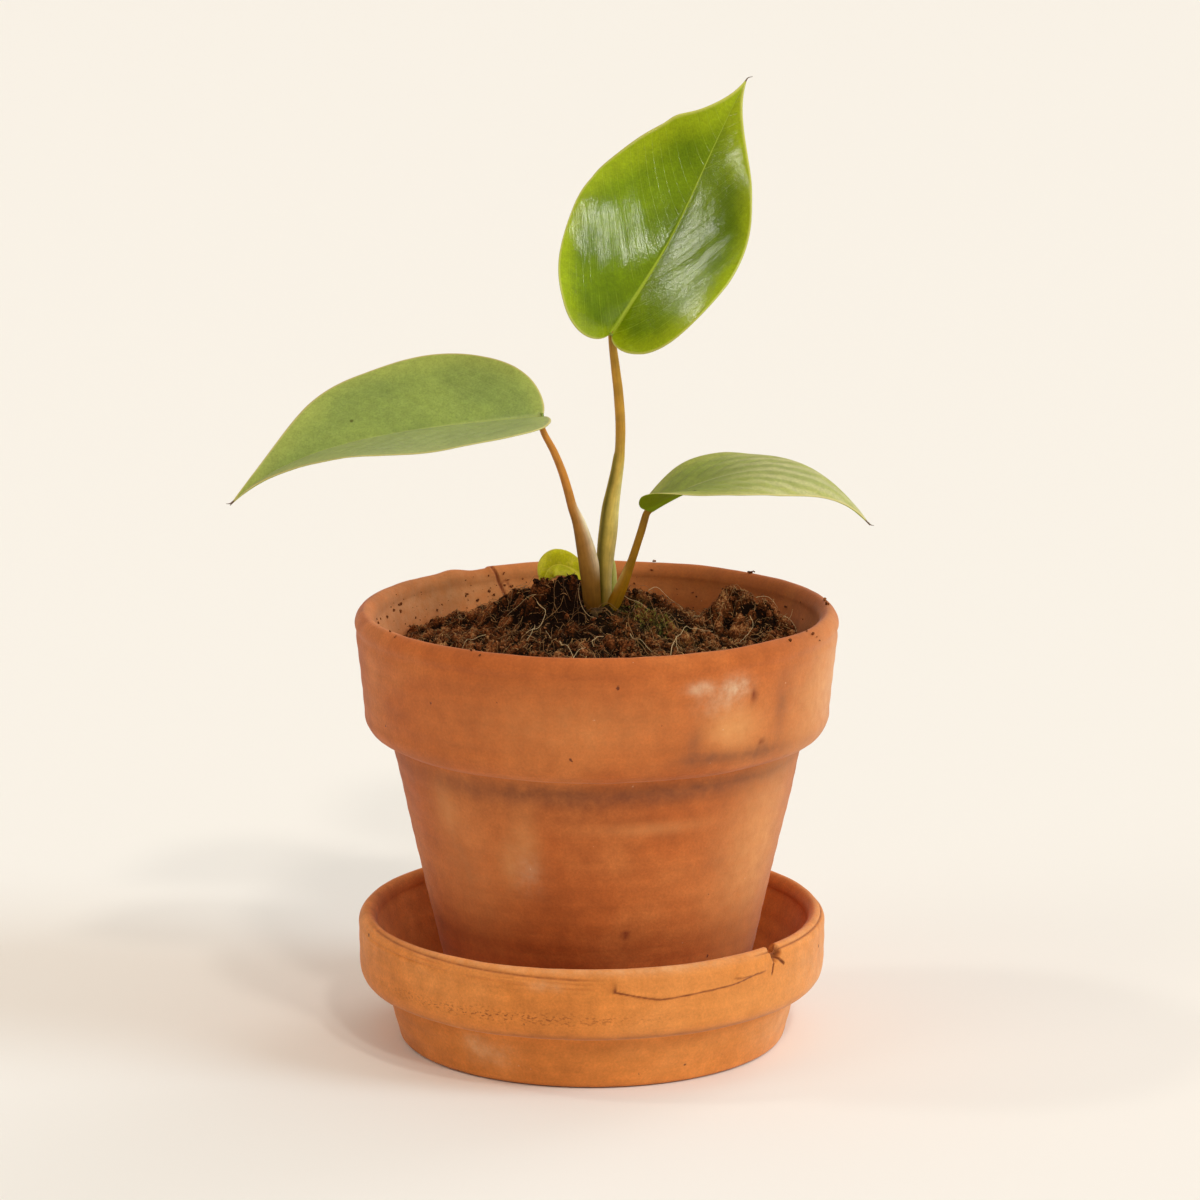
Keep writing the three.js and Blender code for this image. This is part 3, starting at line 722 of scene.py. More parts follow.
@dataclass
class TurnedClay:
    """A dish or pot that is turned about an upright axis, with its own unevenness and wear."""

    name: str
    node: str
    slot: str
    finish: FiredClay
    columns: int
    seed: int
    fine_at: Rows
    patches: tuple[Patch, ...]
    centre_x: float = 0.0

    def profile(self) -> Array:
        """The turned section, as rows of radius and height from the base up, over the lip and down."""
        raise NotImplementedError

    def relief(self, angle: Array, radius: Array, height: Array, outside: Array) -> Array:
        """How far the clay stands off the turned section, in millimetres."""
        raise NotImplementedError

    def scars(self, angle: Array, radius: Array, height: Array, outside: Array) -> Array:
        """Where broken or cracked clay shows, and on the saucer painted shade in grooves and under edges,
        from 0 to 1.
        """
        raise NotImplementedError

    def angles(self) -> Array:
        """Angles round the axis, closer together near the places in fine_at.

        The spacing is one over 1 + sum of extra * exp(-((a - centre) / width)^2), found by running its
        inverse up to a full turn.
        """
        even = np.linspace(-math.pi, math.pi, 4001)
        density = np.ones_like(even)
        for centre, width, extra in self.fine_at:
            density += extra * hump(even, math.radians(centre), math.radians(width))
        total = np.concatenate([[0.0], np.cumsum(0.5 * (density[1:] + density[:-1]))])
        return np.interp(np.arange(self.columns) / self.columns, total / total[-1], even)

    def build(self) -> None:
        """Builds the surface: r + n_r h and z + n_z h, h the relief and n the normal of the section."""
        section = self.profile()
        along = unit(np.gradient(section, axis=0))
        angle, radius = np.meshgrid(self.angles(), section[:, 0])
        height = np.broadcast_to(section[:, 1:], angle.shape)
        out_r = np.broadcast_to(along[:, 1:], angle.shape)
        out_z = np.broadcast_to(-along[:, :1], angle.shape)
        stand = self.relief(angle, radius, height, out_r)
        far, up = radius + out_r * stand, height + out_z * stand
        points = np.stack([self.centre_x + far * np.cos(angle), far * np.sin(angle), up], axis=-1)
        masks = {mask.value: np.zeros(angle.shape) for mask in Mask}
        masks[Mask.SCAR_AND_PAINTED_SHADE.value] = self.scars(angle, radius, height, out_r)
        for patch in self.patches:
            facing = out_r < 0.2 if patch.inside else out_r > -0.2
            masks[patch.mask.value] += patch.over(angle, radius, height) * facing
        faces = grid_faces(*angle.shape, closed=True)
        make_piece(
            self.name, points, [faces], self.finish.material(), [self.node],
            {key: np.clip(value, 0.0, 1.0) for key, value in masks.items()}, weld=True,
        )

    def unevenness(self, angle: Array, radius: Array, height: Array) -> Array:
        """Slow waves of 14 mm and 4 mm and turning ripples 5 mm apart, together under half a millimetre."""
        place = np.stack([radius * np.cos(angle), radius * np.sin(angle), height], axis=-1)
        waves = 0.16 * soft_noise(place, 14.0, self.seed) + 0.05 * soft_noise(place, 4.0, self.seed + 1)
        return waves + 0.05 * np.sin(2 * math.pi * height / 5.2 + 1.3 * np.sin(2 * angle))


def near_line(angle: Array, radius: Array, height: Array, marks: Rows, half: float) -> Array:
    """1 on a line drawn over a turned surface and 0 beyond its half width.

    The line runs through marks of angle in degrees and height. The distance is to the nearest stretch:
    |p - a - s (b - a)| with s held between 0 and 1.

    Args:
        angle: Angles of the points.
        radius: Their radii.
        height: Their heights.
        marks: The line's corners.
        half: Its half width in millimetres.

    Returns:
        One number a point.
    """
    best = np.full(angle.shape, np.inf)
    for (turn_a, low), (turn_b, high) in itertools.pairwise(marks):
        u = (angle - math.radians(turn_a)) * radius
        v = height - low
        du = math.radians(turn_b - turn_a) * radius
        dv = high - low
        share = np.clip((u * du + v * dv) / (du**2 + dv**2 + 1e-9), 0.0, 1.0)
        best = np.minimum(best, np.hypot(u - share * du, v - share * dv))
    return 1.0 - smoothstep(0.4 * half, half, best)


@dataclass
class Saucer(TurnedClay):
    """The deep saucer: sloping side, overhanging band, rolled lip with a chip, and a smeared flap of clay."""

    base_radius: float = 51.2
    step: Row = (56.3, 14.5)
    band_radius: float = 63.3
    rounding: float = 5.6
    lip: Row = (61.1, 31.4)
    lip_half: Row = (2.35, 3.7)
    floor: Row = (47.4, 7.0)
    chip: Row = (-39.5, 34.4)
    crack: Rows = ((-40.6, 35.4), (-40.0, 33.2), (-38.3, 31.4), (-36.6, 30.0))
    crack_branch: Rows = ((-39.6, 32.2), (-40.6, 30.6), (-41.2, 28.2))
    flap: Rows = (
        (-84.9, 33.4), (-84.6, 29.6), (-78.5, 28.0), (-73.6, 26.9), (-63.4, 27.6), (-53.6, 28.3),
        (-46.5, 29.6),
    )
    small_flap: Rows = ((-53.4, 31.0), (-53.6, 29.9), (-48.0, 29.3), (-43.8, 29.6))

    def profile(self) -> Array:
        """Base, sloping side, band, lip, inner wall and floor, from the axis out and back to it."""
        foot = (self.band_radius - self.rounding, self.step[1] + 0.5 + self.rounding)
        lip_out = (self.lip[0] + self.lip_half[0], self.lip[1])
        lip_in = (self.lip[0] - self.lip_half[0], self.lip[1])
        bend = (self.floor[0] + 3.2, self.floor[1] + 3.2)
        parts = [
            np.array([[0.0, 0.0]]), straight((0.0, 0.0), (self.base_radius, 0.0), 8.0),
            arc((self.base_radius, 1.5), (1.5, 1.5), -90, -10, 0.35),
            straight((52.68, 1.3), self.step, 0.9), np.array([self.step]),
            arc(foot, (self.rounding, self.rounding), -90, 0, 0.5),
            straight((self.band_radius, foot[1]), lip_out, 0.36),
            arc(self.lip, self.lip_half, 0, 180, 0.22),
            straight(lip_in, bend, 0.9), arc((bend[0] - 3.2, bend[1]), (3.2, 3.2), 0, -90, 0.8),
            straight(self.floor, (0.0, self.floor[1]), 4.0), np.array([[0.0, self.floor[1]]]),
        ]
        return np.concatenate(parts)

    def flap_edge(self, angle: Array) -> Array:
        """Height of the flap's lower edge at an angle."""
        turns, heights = np.array(self.flap[1:]).T
        return np.interp(np.degrees(angle), turns, heights)

    def chip_shape(self, angle: Array, radius: Array, height: Array) -> Array:
        """The bite out of the lip, from 0 to 1, with a ragged edge."""
        place = np.stack([angle * radius, height], axis=-1)
        u = (angle - math.radians(self.chip[0])) * radius + 0.5 * soft_noise(place, 1.3, 41)
        v = height - self.chip[1] + 0.7 * soft_noise(place, 1.1, 42)
        return 1.0 - smoothstep(0.8, 1.1, np.hypot(u / 2.3, v / 2.9))

    def grooved(self, angle: Array, height: Array, outside: Array) -> tuple[Array, Array, Array]:
        """The grooves under the lip: how they lean round the saucer, and where left and right ones are."""
        degrees = np.degrees(angle)
        outer = (outside > 0.0) & (height > 15.0)
        lean = 0.3 * np.sin(2.0 * angle) - 0.03 * (degrees + 120.0)
        left = outer * between(degrees, (-170, -155), (-95, -86))
        return lean, left, outer * between(degrees, (-50, -40), (10, 30))

    def relief(self, angle: Array, radius: Array, height: Array, outside: Array) -> Array:
        """Unevenness, grooves and wipe marks under the lip, the two raised flaps, the chip and the cracks."""
        stand = self.unevenness(angle, radius, height) * smoothstep(0.2, 2.0, height)
        lean, left, right = self.grooved(angle, height, outside)
        for level, depth in ((33.6, 0.34), (32.3, 0.2), (30.9, 0.3)):
            stand -= left * depth * hump(height, level + lean, 0.32)
        smear = np.stack([angle * radius * 0.06, height], axis=-1)
        wiped = between(height, (29.0, 30.5), (34.0, 35.0))
        stand += left * wiped * 0.16 * soft_noise(smear, 0.55, 45)
        stand -= right * 0.45 * hump(height, 34.2, 0.28)

        degrees = np.degrees(angle)
        outer = (outside > 0.0) & (height > 15.0)
        above = smoothstep(-0.16, 0.16, height - self.flap_edge(angle)) * (1 - smoothstep(32.8, 34.4, height))
        stand += outer * 0.55 * between(degrees, (-85.1, -84.8), (-52, -45)) * above
        above = between(height, (29.26, 29.54), (31.0, 32.5))
        stand += outer * 0.4 * between(degrees, (-53.9, -53.6), (-45, -42)) * above
        stand -= 2.4 * self.chip_shape(angle, radius, height)
        return stand - 0.5 * self.cracks(angle, radius, height, 0.3)

    def cracks(self, angle: Array, radius: Array, height: Array, half: float) -> Array:
        """The crack below the chip with its branch."""
        main = near_line(angle, radius, height, self.crack, half)
        return np.maximum(main, 0.7 * near_line(angle, radius, height, self.crack_branch, 0.8 * half))

    def scars(self, angle: Array, radius: Array, height: Array, outside: Array) -> Array:
        """The chip's broken face with painted shade in it, the cracks, painted shadow lines under the flaps,
        and painted shade in the deepest groove on the left and the one on the right.
        """
        lean, left, right = self.grooved(angle, height, outside)
        outer = (outside > 0.0) & (height > 15.0)
        # Painted shadow that the flaps' lower edges cast.
        under = 1.15 * near_line(angle, radius, height, self.flap, 0.4)
        under = np.maximum(under, 0.8 * near_line(angle, radius, height, self.small_flap, 0.36))
        # The chip's broken face: fresh clay and painted shade in the bite.
        broken = 1.6 * self.chip_shape(angle, radius, height)
        crack = 1.6 * self.cracks(angle, radius, height, 0.55)
        # Painted shade in the deepest groove on the right and on the left.
        line = 0.8 * right * hump(height, 34.15, 0.22)
        groove = 0.75 * left * hump(height, 33.5 + lean, 0.26)
        return np.maximum.reduce([broken, crack, 0.85 * under * outer, line, groove])


@dataclass
class Pot(TurnedClay):
    """The pot: tapered body, tall rim band, thick lip that is worn uneven, and a drain hole."""

    base_z: float = 7.3
    drain_radius: float = 9.0
    base: Row = (39.2, 1.8)
    body_top: Row = (55.6, 83.2)
    band_radius: float = 62.7
    band_z: float = 83.8
    rounding: float = 6.8
    lip: Row = (62.35, 114.4)
    lip_half: Row = (2.65, 4.1)
    shoulder: Row = (50.7, 83.8)
    floor: Row = (34.5, 13.3)
    crack: Rows = (
        (118.6, 118.4), (118.0, 116.5), (117.6, 114.6), (116.2, 110.6), (115.4, 106.0),
    )
    crack_branch: Rows = ((117.3, 113.6), (115.4, 114.4), (114.0, 112.4))

    def profile(self) -> Array:
        """Round the drain hole, out over the base, up body and band, over the lip and down inside."""
        edge = self.base[1]
        foot = (self.band_radius - self.rounding, self.band_z + self.rounding)
        lip_out = (self.lip[0] + self.lip_half[0], self.lip[1])
        lip_in = (self.lip[0] - self.lip_half[0], self.lip[1])
        hole = [[self.drain_radius, z] for z in (self.floor[1], 10.3, self.base_z)]
        parts = [
            np.array(hole), straight(tuple(hole[-1]), (self.base[0] - edge, self.base_z), 8.0),
            arc((self.base[0] - edge, self.base_z + edge), (edge, edge), -90, -10, 0.6),
            straight((self.base[0] - 0.03, self.base_z + 1.5), self.body_top, 1.25),
            np.array([self.body_top]),
            arc(foot, (self.rounding, self.rounding), -90, 0, 0.6),
            straight((self.band_radius, foot[1]), lip_out, 0.85),
            arc(self.lip, self.lip_half, 0, 180, 0.33),
            straight(lip_in, self.shoulder, 0.85), np.array([self.shoulder]),
            straight(self.shoulder, (self.floor[0], 15.8), 7.0), np.array([[self.floor[0], 15.8]]),
            np.array([[32.0, self.floor[1]]]), straight((32.0, self.floor[1]), tuple(hole[0]), 8.0),
            np.array(hole[:1]),
        ]
        return np.concatenate(parts)

    def relief(self, angle: Array, radius: Array, height: Array, outside: Array) -> Array:
        """Unevenness, the worn lip with its bump, dip and notch, dents in the body and the crack inside."""
        stand = self.unevenness(angle, radius, height) * smoothstep(16.0, 20.0, height)
        degrees = np.degrees(angle)
        lip = smoothstep(114.5, 118.3, height)
        place = np.stack([np.cos(angle) * 60, np.sin(angle) * 60], axis=-1)
        worn = 0.12 * soft_noise(place, 14.0, 51) + 0.04 * soft_noise(place, 3.0, 52) - 0.1
        for centre, width, lift in ((131.0, 3.4, 0.5), (124.4, 3.0, -0.55), (95.0, 12.0, 0.15)):
            worn += lift * hump(degrees, centre, width)
        worn -= 0.4 * between(degrees, (119.2, 120.2), (120.5, 126.0))
        stand += lip * worn
        body = (height < 83.0) & (outside > 0)
        stand += body * 0.35 * soft_noise(np.concatenate([place, height[..., None]], axis=-1), 22.0, 53)
        for level, tilt, turns, width, depth, least in (
            (112.9, 0.3, 1, 0.8, 0.26, 0.5), (115.0, 0.0, 1, 1.3, -0.06, 0.5), (84.6, 0.4, 3, 0.9, 0.25, 0.2),
        ):
            stand -= depth * hump(height, level + tilt * np.sin(turns * angle), width) * (outside > least)
        inside = (outside < 0.4) & (height > 100.0)
        return stand - inside * 0.5 * near_line(angle, radius, height, self.crack, 0.5)

    def scars(self, angle: Array, radius: Array, height: Array, outside: Array) -> Array:
        """The crack on the inner wall and its branch."""
        inside = (outside < 0.4) & (height > 100.0)
        main = near_line(angle, radius, height, self.crack, 0.7)
        branch = near_line(angle, radius, height, self.crack_branch, 0.55)
        return inside * np.maximum(main, 0.8 * branch)


# Soil


@dataclass
class SoilBed:
    """The potting mix: a heaped, crumbled top on a plain filling, with crumbs, threads and moss.

    Each heap or hollow is a place x, y, its height and its two half widths.
    """

    level: float = 106.0
    wall_top: float = 57.1
    wall_foot: Row = (34.2, 15.8)
    shoulder: Row = (50.4, 83.8)
    bottom: float = 13.6
    cells: int = 248
    heaps: Rows = (
        (0, 2, 7, 26, 20), (3, 7, 4.4, 10, 7), (-8, 9.5, 10.5, 6, 4), (-18.5, 14, 8.5, 5, 5),
        (-27, 20, 6.5, 5, 5), (-36, 27, 3.5, 6, 5), (14, 13, 7, 8.5, 6), (37, 19, 11, 5.5, 6),
        (47, 13, 7.5, 4.5, 6),
    )
    hollows: Rows = (
        (-7, -1, -1.6, 4, 3), (27, 20, -2.0, 4, 6), (35.5, 10.5, -3.5, 1.6, 2.2), (-8, 3.2, -2.2, 2.4, 2.0),
    )
    crown: Row = (1.1, 7.5)
    mix: PottingMix = PottingMix("moist_coir_potting_mix")
    loose: PottingMix = PottingMix("loose_bark_and_coir_crumbs", dark="20110a", middle="663618", red="9c5a32")
    coir: DryFibre = DryFibre("dry_coir_threads", light="c9955a", dark="4a2a12")
    pale: DryFibre = DryFibre("pale_dead_roots", light="efd3a0", dark="c79b62")
    moss: DryFibre = DryFibre("moss_tufts", light="a6a83c", dark="5c5f1c")

    def ground(self, x: Array, y: Array) -> Array:
        """Height of the bed without its crumbs: level + ripples + heaps * exp(-(u^2 + v^2) / 2)."""
        ripples = np.sin(0.43 * x + 0.9) * np.sin(0.51 * y + 0.3)
        ripples = ripples + 0.7 * np.sin(0.83 * x - 0.37 * y) + 0.5 * np.sin(0.61 * x + 0.79 * y + 1.9)
        z = self.level + 0.7 * ripples
        for at_x, at_y, lift, wide, deep in self.heaps + self.hollows:
            z = z + lift * np.exp(-0.5 * (((x - at_x) / wide) ** 2 + ((y - at_y) / deep) ** 2))
        away = np.hypot(x - self.crown[0], y - self.crown[1])
        return z + (118.2 - z) * (1.0 - smoothstep(4.2, 7.6, away)) * 0.8

    def crumbled(self, x: Array, y: Array) -> Array:
        """The ground with four sizes of crumbs on it, on places that are shifted by soft noise."""
        place = np.stack([x, y], axis=-1)
        shift = np.stack([soft_noise(place, 2.2, 61), soft_noise(place, 2.2, 62)], axis=-1)
        place = place + 0.9 * shift
        z = self.ground(x, y) - 2.5
        for size, share, seed in ((4.4, 0.7, 63), (2.0, 0.8, 66), (1.0, 0.8, 69)):
            z = z + share * crumb_relief(place, size, seed)
        return z + 0.7 * soft_noise(place, 2.6, 73) + 0.35 * soft_noise(place, 0.8, 72)

    def mossy(self, x: Array, y: Array) -> Array:
        """How green the bed is: strongest right of the crown."""
        spots = (
            (12.0, 2.5, 8.0, 4.5, 1.0), (19.0, 1.0, 5.0, 4.0, 0.8), (14.0, -9.0, 7.0, 3.0, 0.5),
            (26.0, -6.0, 7.0, 4.0, 0.4),
        )
        green = np.zeros(np.shape(x))
        for at_x, at_y, wide, deep, strength in spots:
            green = green + strength * hump(x, at_x, wide) * hump(y, at_y, deep)
        return np.clip(0.55 * green, 0.0, 1.0)

    @staticmethod
    def tone_with_painted_shade(x: Array, y: Array) -> Array:
        """How much paler the mix is: below 0 round the crown, which is painted shade, and more near the
        walls.
        """
        painted_shade_tone = hump(x, -4.0, 13.0) * hump(y, 1.0, 9.0)
        return 0.2 * smoothstep(14.0, 34.0, x) + 0.08 * smoothstep(-20.0, -34.0, x) - 0.45 * painted_shade_tone

    def build(self) -> None:
        """Builds every piece of the soil."""
        self.build_bed()
        for name, count, sizes, grid, seed in (
            ("large", 1500, (0.35, 1.0), (5, 6), 81), ("small", 4900, (0.18, 0.5), (4, 5), 82),
            ("fine", 5200, (0.13, 0.34), (4, 4), 83),
        ):
            self.build_crumbs("soil_crumbs_" + name, count, sizes, grid, seed)
        self.build_fibre_bits()
        self.build_wall_crumbs()
        self.build_coir()
        self.build_roots()
        self.build_moss()

    def build_bed(self) -> None:
        """Builds the bed: a square grid made round by x = u sqrt(1 - v^2/2) and y = v sqrt(1 - u^2/2)."""
        line = np.linspace(-1.0, 1.0, self.cells + 1)
        u, v = np.meshgrid(line, line)
        x = self.wall_top * u * np.sqrt(1 - v**2 / 2)
        y = self.wall_top * v * np.sqrt(1 - u**2 / 2)
        top = np.stack([x, y, self.crumbled(x, y)], axis=-1)
        side = self.cells + 1
        rim = grid_rim(side, side)
        turn = np.arctan2(y.ravel()[rim], x.ravel()[rim])
        ends = [self.shoulder, self.wall_foot, (self.wall_foot[0] - 2.5, self.bottom)]
        skirt = [
            np.stack([r * np.cos(turn), r * np.sin(turn), np.full_like(turn, z)], axis=-1) for r, z in ends
        ]
        points = np.concatenate([top.reshape(-1, 3), *skirt])
        loops = [rim] + [side * side + len(rim) * i + np.arange(len(rim)) for i in range(3)]
        walls = [loop_faces(upper, lower) for upper, lower in itertools.pairwise(loops)]
        faces = [grid_faces(side, side), *walls, loops[-1][::-1][None, :]]
        flat = points[:, :2]
        # Painted light and shade: the tone is paler where the crumbs stand proud, darker in the gaps between
        # them and in the painted shade round the crown.
        proud = points[:, 2] - self.ground(flat[:, 0], flat[:, 1]) + 0.6
        tone = 0.12 + 0.15 * soft_noise(flat, 5.0, 75) + 0.5 * np.clip(proud, -1.5, 1.2)
        tone = tone + self.tone_with_painted_shade(flat[:, 0], flat[:, 1])
        green = self.mossy(points[:, 0], points[:, 1])
        make_piece(
            "soil_bed", points, faces, self.mix.material(), ["potting_soil"],
            {"tone": tone, "moss": green},
        )

    def scatter(self, count: int, seed: int, reach: float) -> tuple[Array, Array]:
        """Places over the bed by the golden angle, each shifted at random: r = reach sqrt(i / n)."""
        random = np.random.default_rng(seed)
        i = np.arange(count) + 0.5
        radius = reach * np.sqrt(i / count)
        turn = GOLDEN_ANGLE * np.arange(count)
        x = radius * np.cos(turn) + random.normal(0.0, 1.3, count)
        y = radius * np.sin(turn) + random.normal(0.0, 1.3, count)
        inside = (np.hypot(x, y) < reach) & (np.hypot(x - self.crown[0], y - self.crown[1]) > 5.0)
        return x[inside], y[inside]

    @staticmethod
    def lumps(centres: Array, sizes: Array, grid: tuple[int, int], seed: int) -> tuple[Array, list[Array]]:
        """Rough balls, turned at random: centre + size (1 + noise) (a cos p cos q, b cos p sin q, c sin p).

        Args:
            centres: Middle of each lump.
            sizes: Radius of each lump.
            grid: Rows and columns of points on a lump.
            seed: Picks the shapes.

        Returns:
            The points and their faces.
        """
        random = np.random.default_rng(seed)
        count = len(centres)
        rows, columns = grid
        rise = np.linspace(-math.pi / 2, math.pi / 2, rows)
        p, q = np.meshgrid(rise, 2 * math.pi * np.arange(columns) / columns, indexing="ij")
        ball = np.stack([np.cos(p) * np.cos(q), np.cos(p) * np.sin(q), np.sin(p)], axis=-1)
        rough = 1.0 + random.uniform(-0.42, 0.42, (count, rows, columns))
        rough[:, [0, -1]] = rough[:, [0, -1], :1]
        stretch = random.uniform(0.35, 1.35, (count, 1, 1, 3))
        shape = ball[None] * rough[..., None] * stretch
        axes = np.linalg.qr(random.normal(size=(count, 3, 3)))[0]
        axes[np.linalg.det(axes) < 0, :, 0] *= -1.0
        turned = np.einsum("nij,nrcj->nrci", axes, shape)
        points = centres[:, None, None] + turned * sizes[:, None, None, None]
        offset = np.arange(count)[:, None, None] * rows * columns
        return points, [(grid_faces(rows, columns, closed=True)[None] + offset).reshape(-1, 4)]

    def build_crumbs(self, name: str, count: int, sizes: Row, grid: tuple[int, int], seed: int) -> None:
        """Builds a scatter of crumbs that lie half sunk in the bed.

        Args:
            name: The piece's name.
            count: How many crumbs are scattered before those outside are left out.
            sizes: Least and greatest radius.
            grid: Rows and columns of points on a crumb.
            seed: Picks places and shapes.
        """
        random = np.random.default_rng(seed)
        x, y = self.scatter(count, seed, self.wall_top - 1.2)
        size = sizes[0] + (sizes[1] - sizes[0]) * random.random(len(x)) ** 2.2
        z = self.crumbled(x, y) + 0.35 * size
        points, faces = self.lumps(np.stack([x, y, z], axis=-1), size, grid, seed + 100)
        each = points.shape[1] * points.shape[2]
        # The tone takes in the painted shade round the crown.
        tone = np.repeat(np.clip(0.1 + random.exponential(0.35, len(x)), 0.0, 1.2) + self.tone_with_painted_shade(x, y), each)
        green = np.repeat(self.mossy(x, y) * random.random(len(x)), each)
        self.build_lumps(name, points, faces, tone, green)

    def build_lumps(self, name: str, points: Array, faces: list[Array], tone: Array, green: Array) -> None:
        """Builds one piece of broken bits with flat faces, whose tone and moss are given a point."""
        make_piece(
            name, points, faces, self.loose.material(), weld=True, smooth=False,
            attributes={"tone": tone, "moss": green},
        )

    def build_wall_crumbs(self) -> None:
        """Builds the crumbs that stick to the pot's inner wall and lie on its lip.

        On the wall the radius is 50.7 + 0.294 (z - 83.8). Those on the lip are listed, each with its angle,
        radius and height.
        """
        random = np.random.default_rng(88)
        count = 150
        stretches = ((105.0, 178.0, 110), (15.0, 100.0, 40))
        turn = np.radians(np.concatenate([random.uniform(*stretch) for stretch in stretches]))
        z = random.uniform(106.5, 116.5, count)
        radius = 50.7 + 0.294 * (z - 83.8) - 0.05
        lip = (
            (75.3, 62.4, 118.6), (74.9, 62.1, 118.8), (46.2, 62.3, 118.7), (45.7, 62.6, 118.9),
            (46.6, 62.0, 118.6), (7.7, 62.4, 118.5), (3.0, 62.2, 118.5), (-28.2, 62.7, 118.3),
            (-27.7, 64.2, 117.6), (-26.6, 64.8, 116.6), (-25.6, 65.1, 115.4), (-150.0, 62.6, 118.4),
            (-146.0, 63.6, 118.0), (-118.0, 64.0, 117.8), (-121.0, 62.8, 118.4), (-38.0, 63.9, 117.9),
        )
        lip_turn, lip_radius, lip_z = np.array(lip).T
        turn = np.concatenate([turn, np.radians(lip_turn)])
        radius, z = np.concatenate([radius, lip_radius]), np.concatenate([z, lip_z])
        centres = np.stack([radius * np.cos(turn), radius * np.sin(turn), z], axis=-1)
        sizes = np.concatenate([0.1 + 0.4 * random.random(count) ** 3, random.uniform(0.3, 0.6, len(lip))])
        points, faces = self.lumps(centres, sizes, (5, 7), 188)
        tone = np.repeat(random.uniform(0.25, 0.75, len(sizes)), 35)
        self.build_lumps("wall_crumbs", points, faces, tone, np.zeros(len(tone)))

    def build_fibre_bits(self) -> None:
        """Builds short bits of coir that stick out of the bed in all directions.

        Each is a slightly bent line: place + s (cos h cos e, sin h cos e, sin e) + bend s^2, with a random
        heading h and climb e.
        """
        seed = 86
        random = np.random.default_rng(seed)
        x, y = self.scatter(5900, seed, self.wall_top - 1.6)
        number = len(x)
        length = 0.6 + 2.4 * random.random(number) ** 2
        heading = random.uniform(0, 2 * math.pi, number)
        climb = random.normal(0.25, 0.5, number)
        level = np.cos(climb)
        way = np.stack([np.cos(heading) * level, np.sin(heading) * level, np.sin(climb)], axis=-1)
        share = np.linspace(-0.5, 0.5, 4)[None, :, None]
        bend = random.normal(0.0, 0.5, (number, 1, 3))
        middle = np.stack([x, y, self.crumbled(x, y) + 0.28], axis=-1)[:, None]
        paths = middle + length[:, None, None] * (way[:, None] * share + bend * (share**2 - 0.1))
        reach = np.hypot(paths[..., 0], paths[..., 1]).max(axis=1)
        paths = paths[reach < self.wall_top + 0.3]
        # The tone takes in the painted shade round the crown.
        painted_shade_tone = self.tone_with_painted_shade(paths[:, 1, 0], paths[:, 1, 1])
        radii = random.uniform(0.06, 0.13, (len(paths), 1)) * np.array([0.7, 1.0, 1.0, 0.5])
        tone = np.clip(random.exponential(0.48, len(paths)) + painted_shade_tone, -0.2, 1.3)
        self.build_threads("coir_fibre_bits", paths, radii, 3, tone, self.coir)

    @staticmethod
    def build_threads(
        name: str, paths: Array, radii: Array, sides: int, tone: Array, finish: DryFibre
    ) -> None:
        """Builds one piece of many threads.

        Args:
            name: The piece's name.
            paths: Threads by points by three numbers.
            radii: Threads by points.
            sides: Corners of a section.
            tone: One number a thread, for the finish.
            finish: What the threads are of.
        """
        points, faces = tubes(paths, radii, sides)
        tones = np.repeat(tone, paths.shape[1] * sides)
        make_piece(name, points, faces, finish.material(), attributes={"tone": tones})

    def build_coir(self) -> None:
        """Builds the coir threads: paths whose heading drifts, arched over the bed between their ends."""
        random = np.random.default_rng(91)
        x, y = self.scatter(760, 92, self.wall_top - 2.5)
        count, steps = len(x), 9
        length = 3.0 + 9.0 * random.random(count) ** 2
        heading = random.uniform(0, 2 * math.pi, (count, 1))
        heading = heading + np.cumsum(random.normal(0, 0.22, (count, steps)), axis=1)
        stride = (length / steps)[:, None]
        way_x = x[:, None] + np.cumsum(stride * np.cos(heading), axis=1)
        way_y = y[:, None] + np.cumsum(stride * np.sin(heading), axis=1)
        inside = np.hypot(way_x, way_y).max(axis=1) < self.wall_top - 1.0
        way_x, way_y, length = way_x[inside], way_y[inside], length[inside]
        share = np.linspace(0.0, 1.0, steps)
        rise = random.uniform(-0.2, 1.3, (len(length), 1)) * np.sin(math.pi * share) + 0.25
        tilt = random.normal(0.0, 1.0, (len(length), 1)) ** 2 * 0.5 * share
        level = self.crumbled(way_x, way_y) * 0.5 + self.ground(way_x, way_y) * 0.5
        paths = np.stack([way_x, way_y, level + rise + tilt], axis=-1)
        radii = random.uniform(0.045, 0.11, (len(length), 1)) * (1.0 - 0.5 * share)
        tone = np.clip(random.normal(0.45, 0.3, len(length)), 0, 1)
        self.build_threads("coir_threads", paths, radii, 3, tone, self.coir)

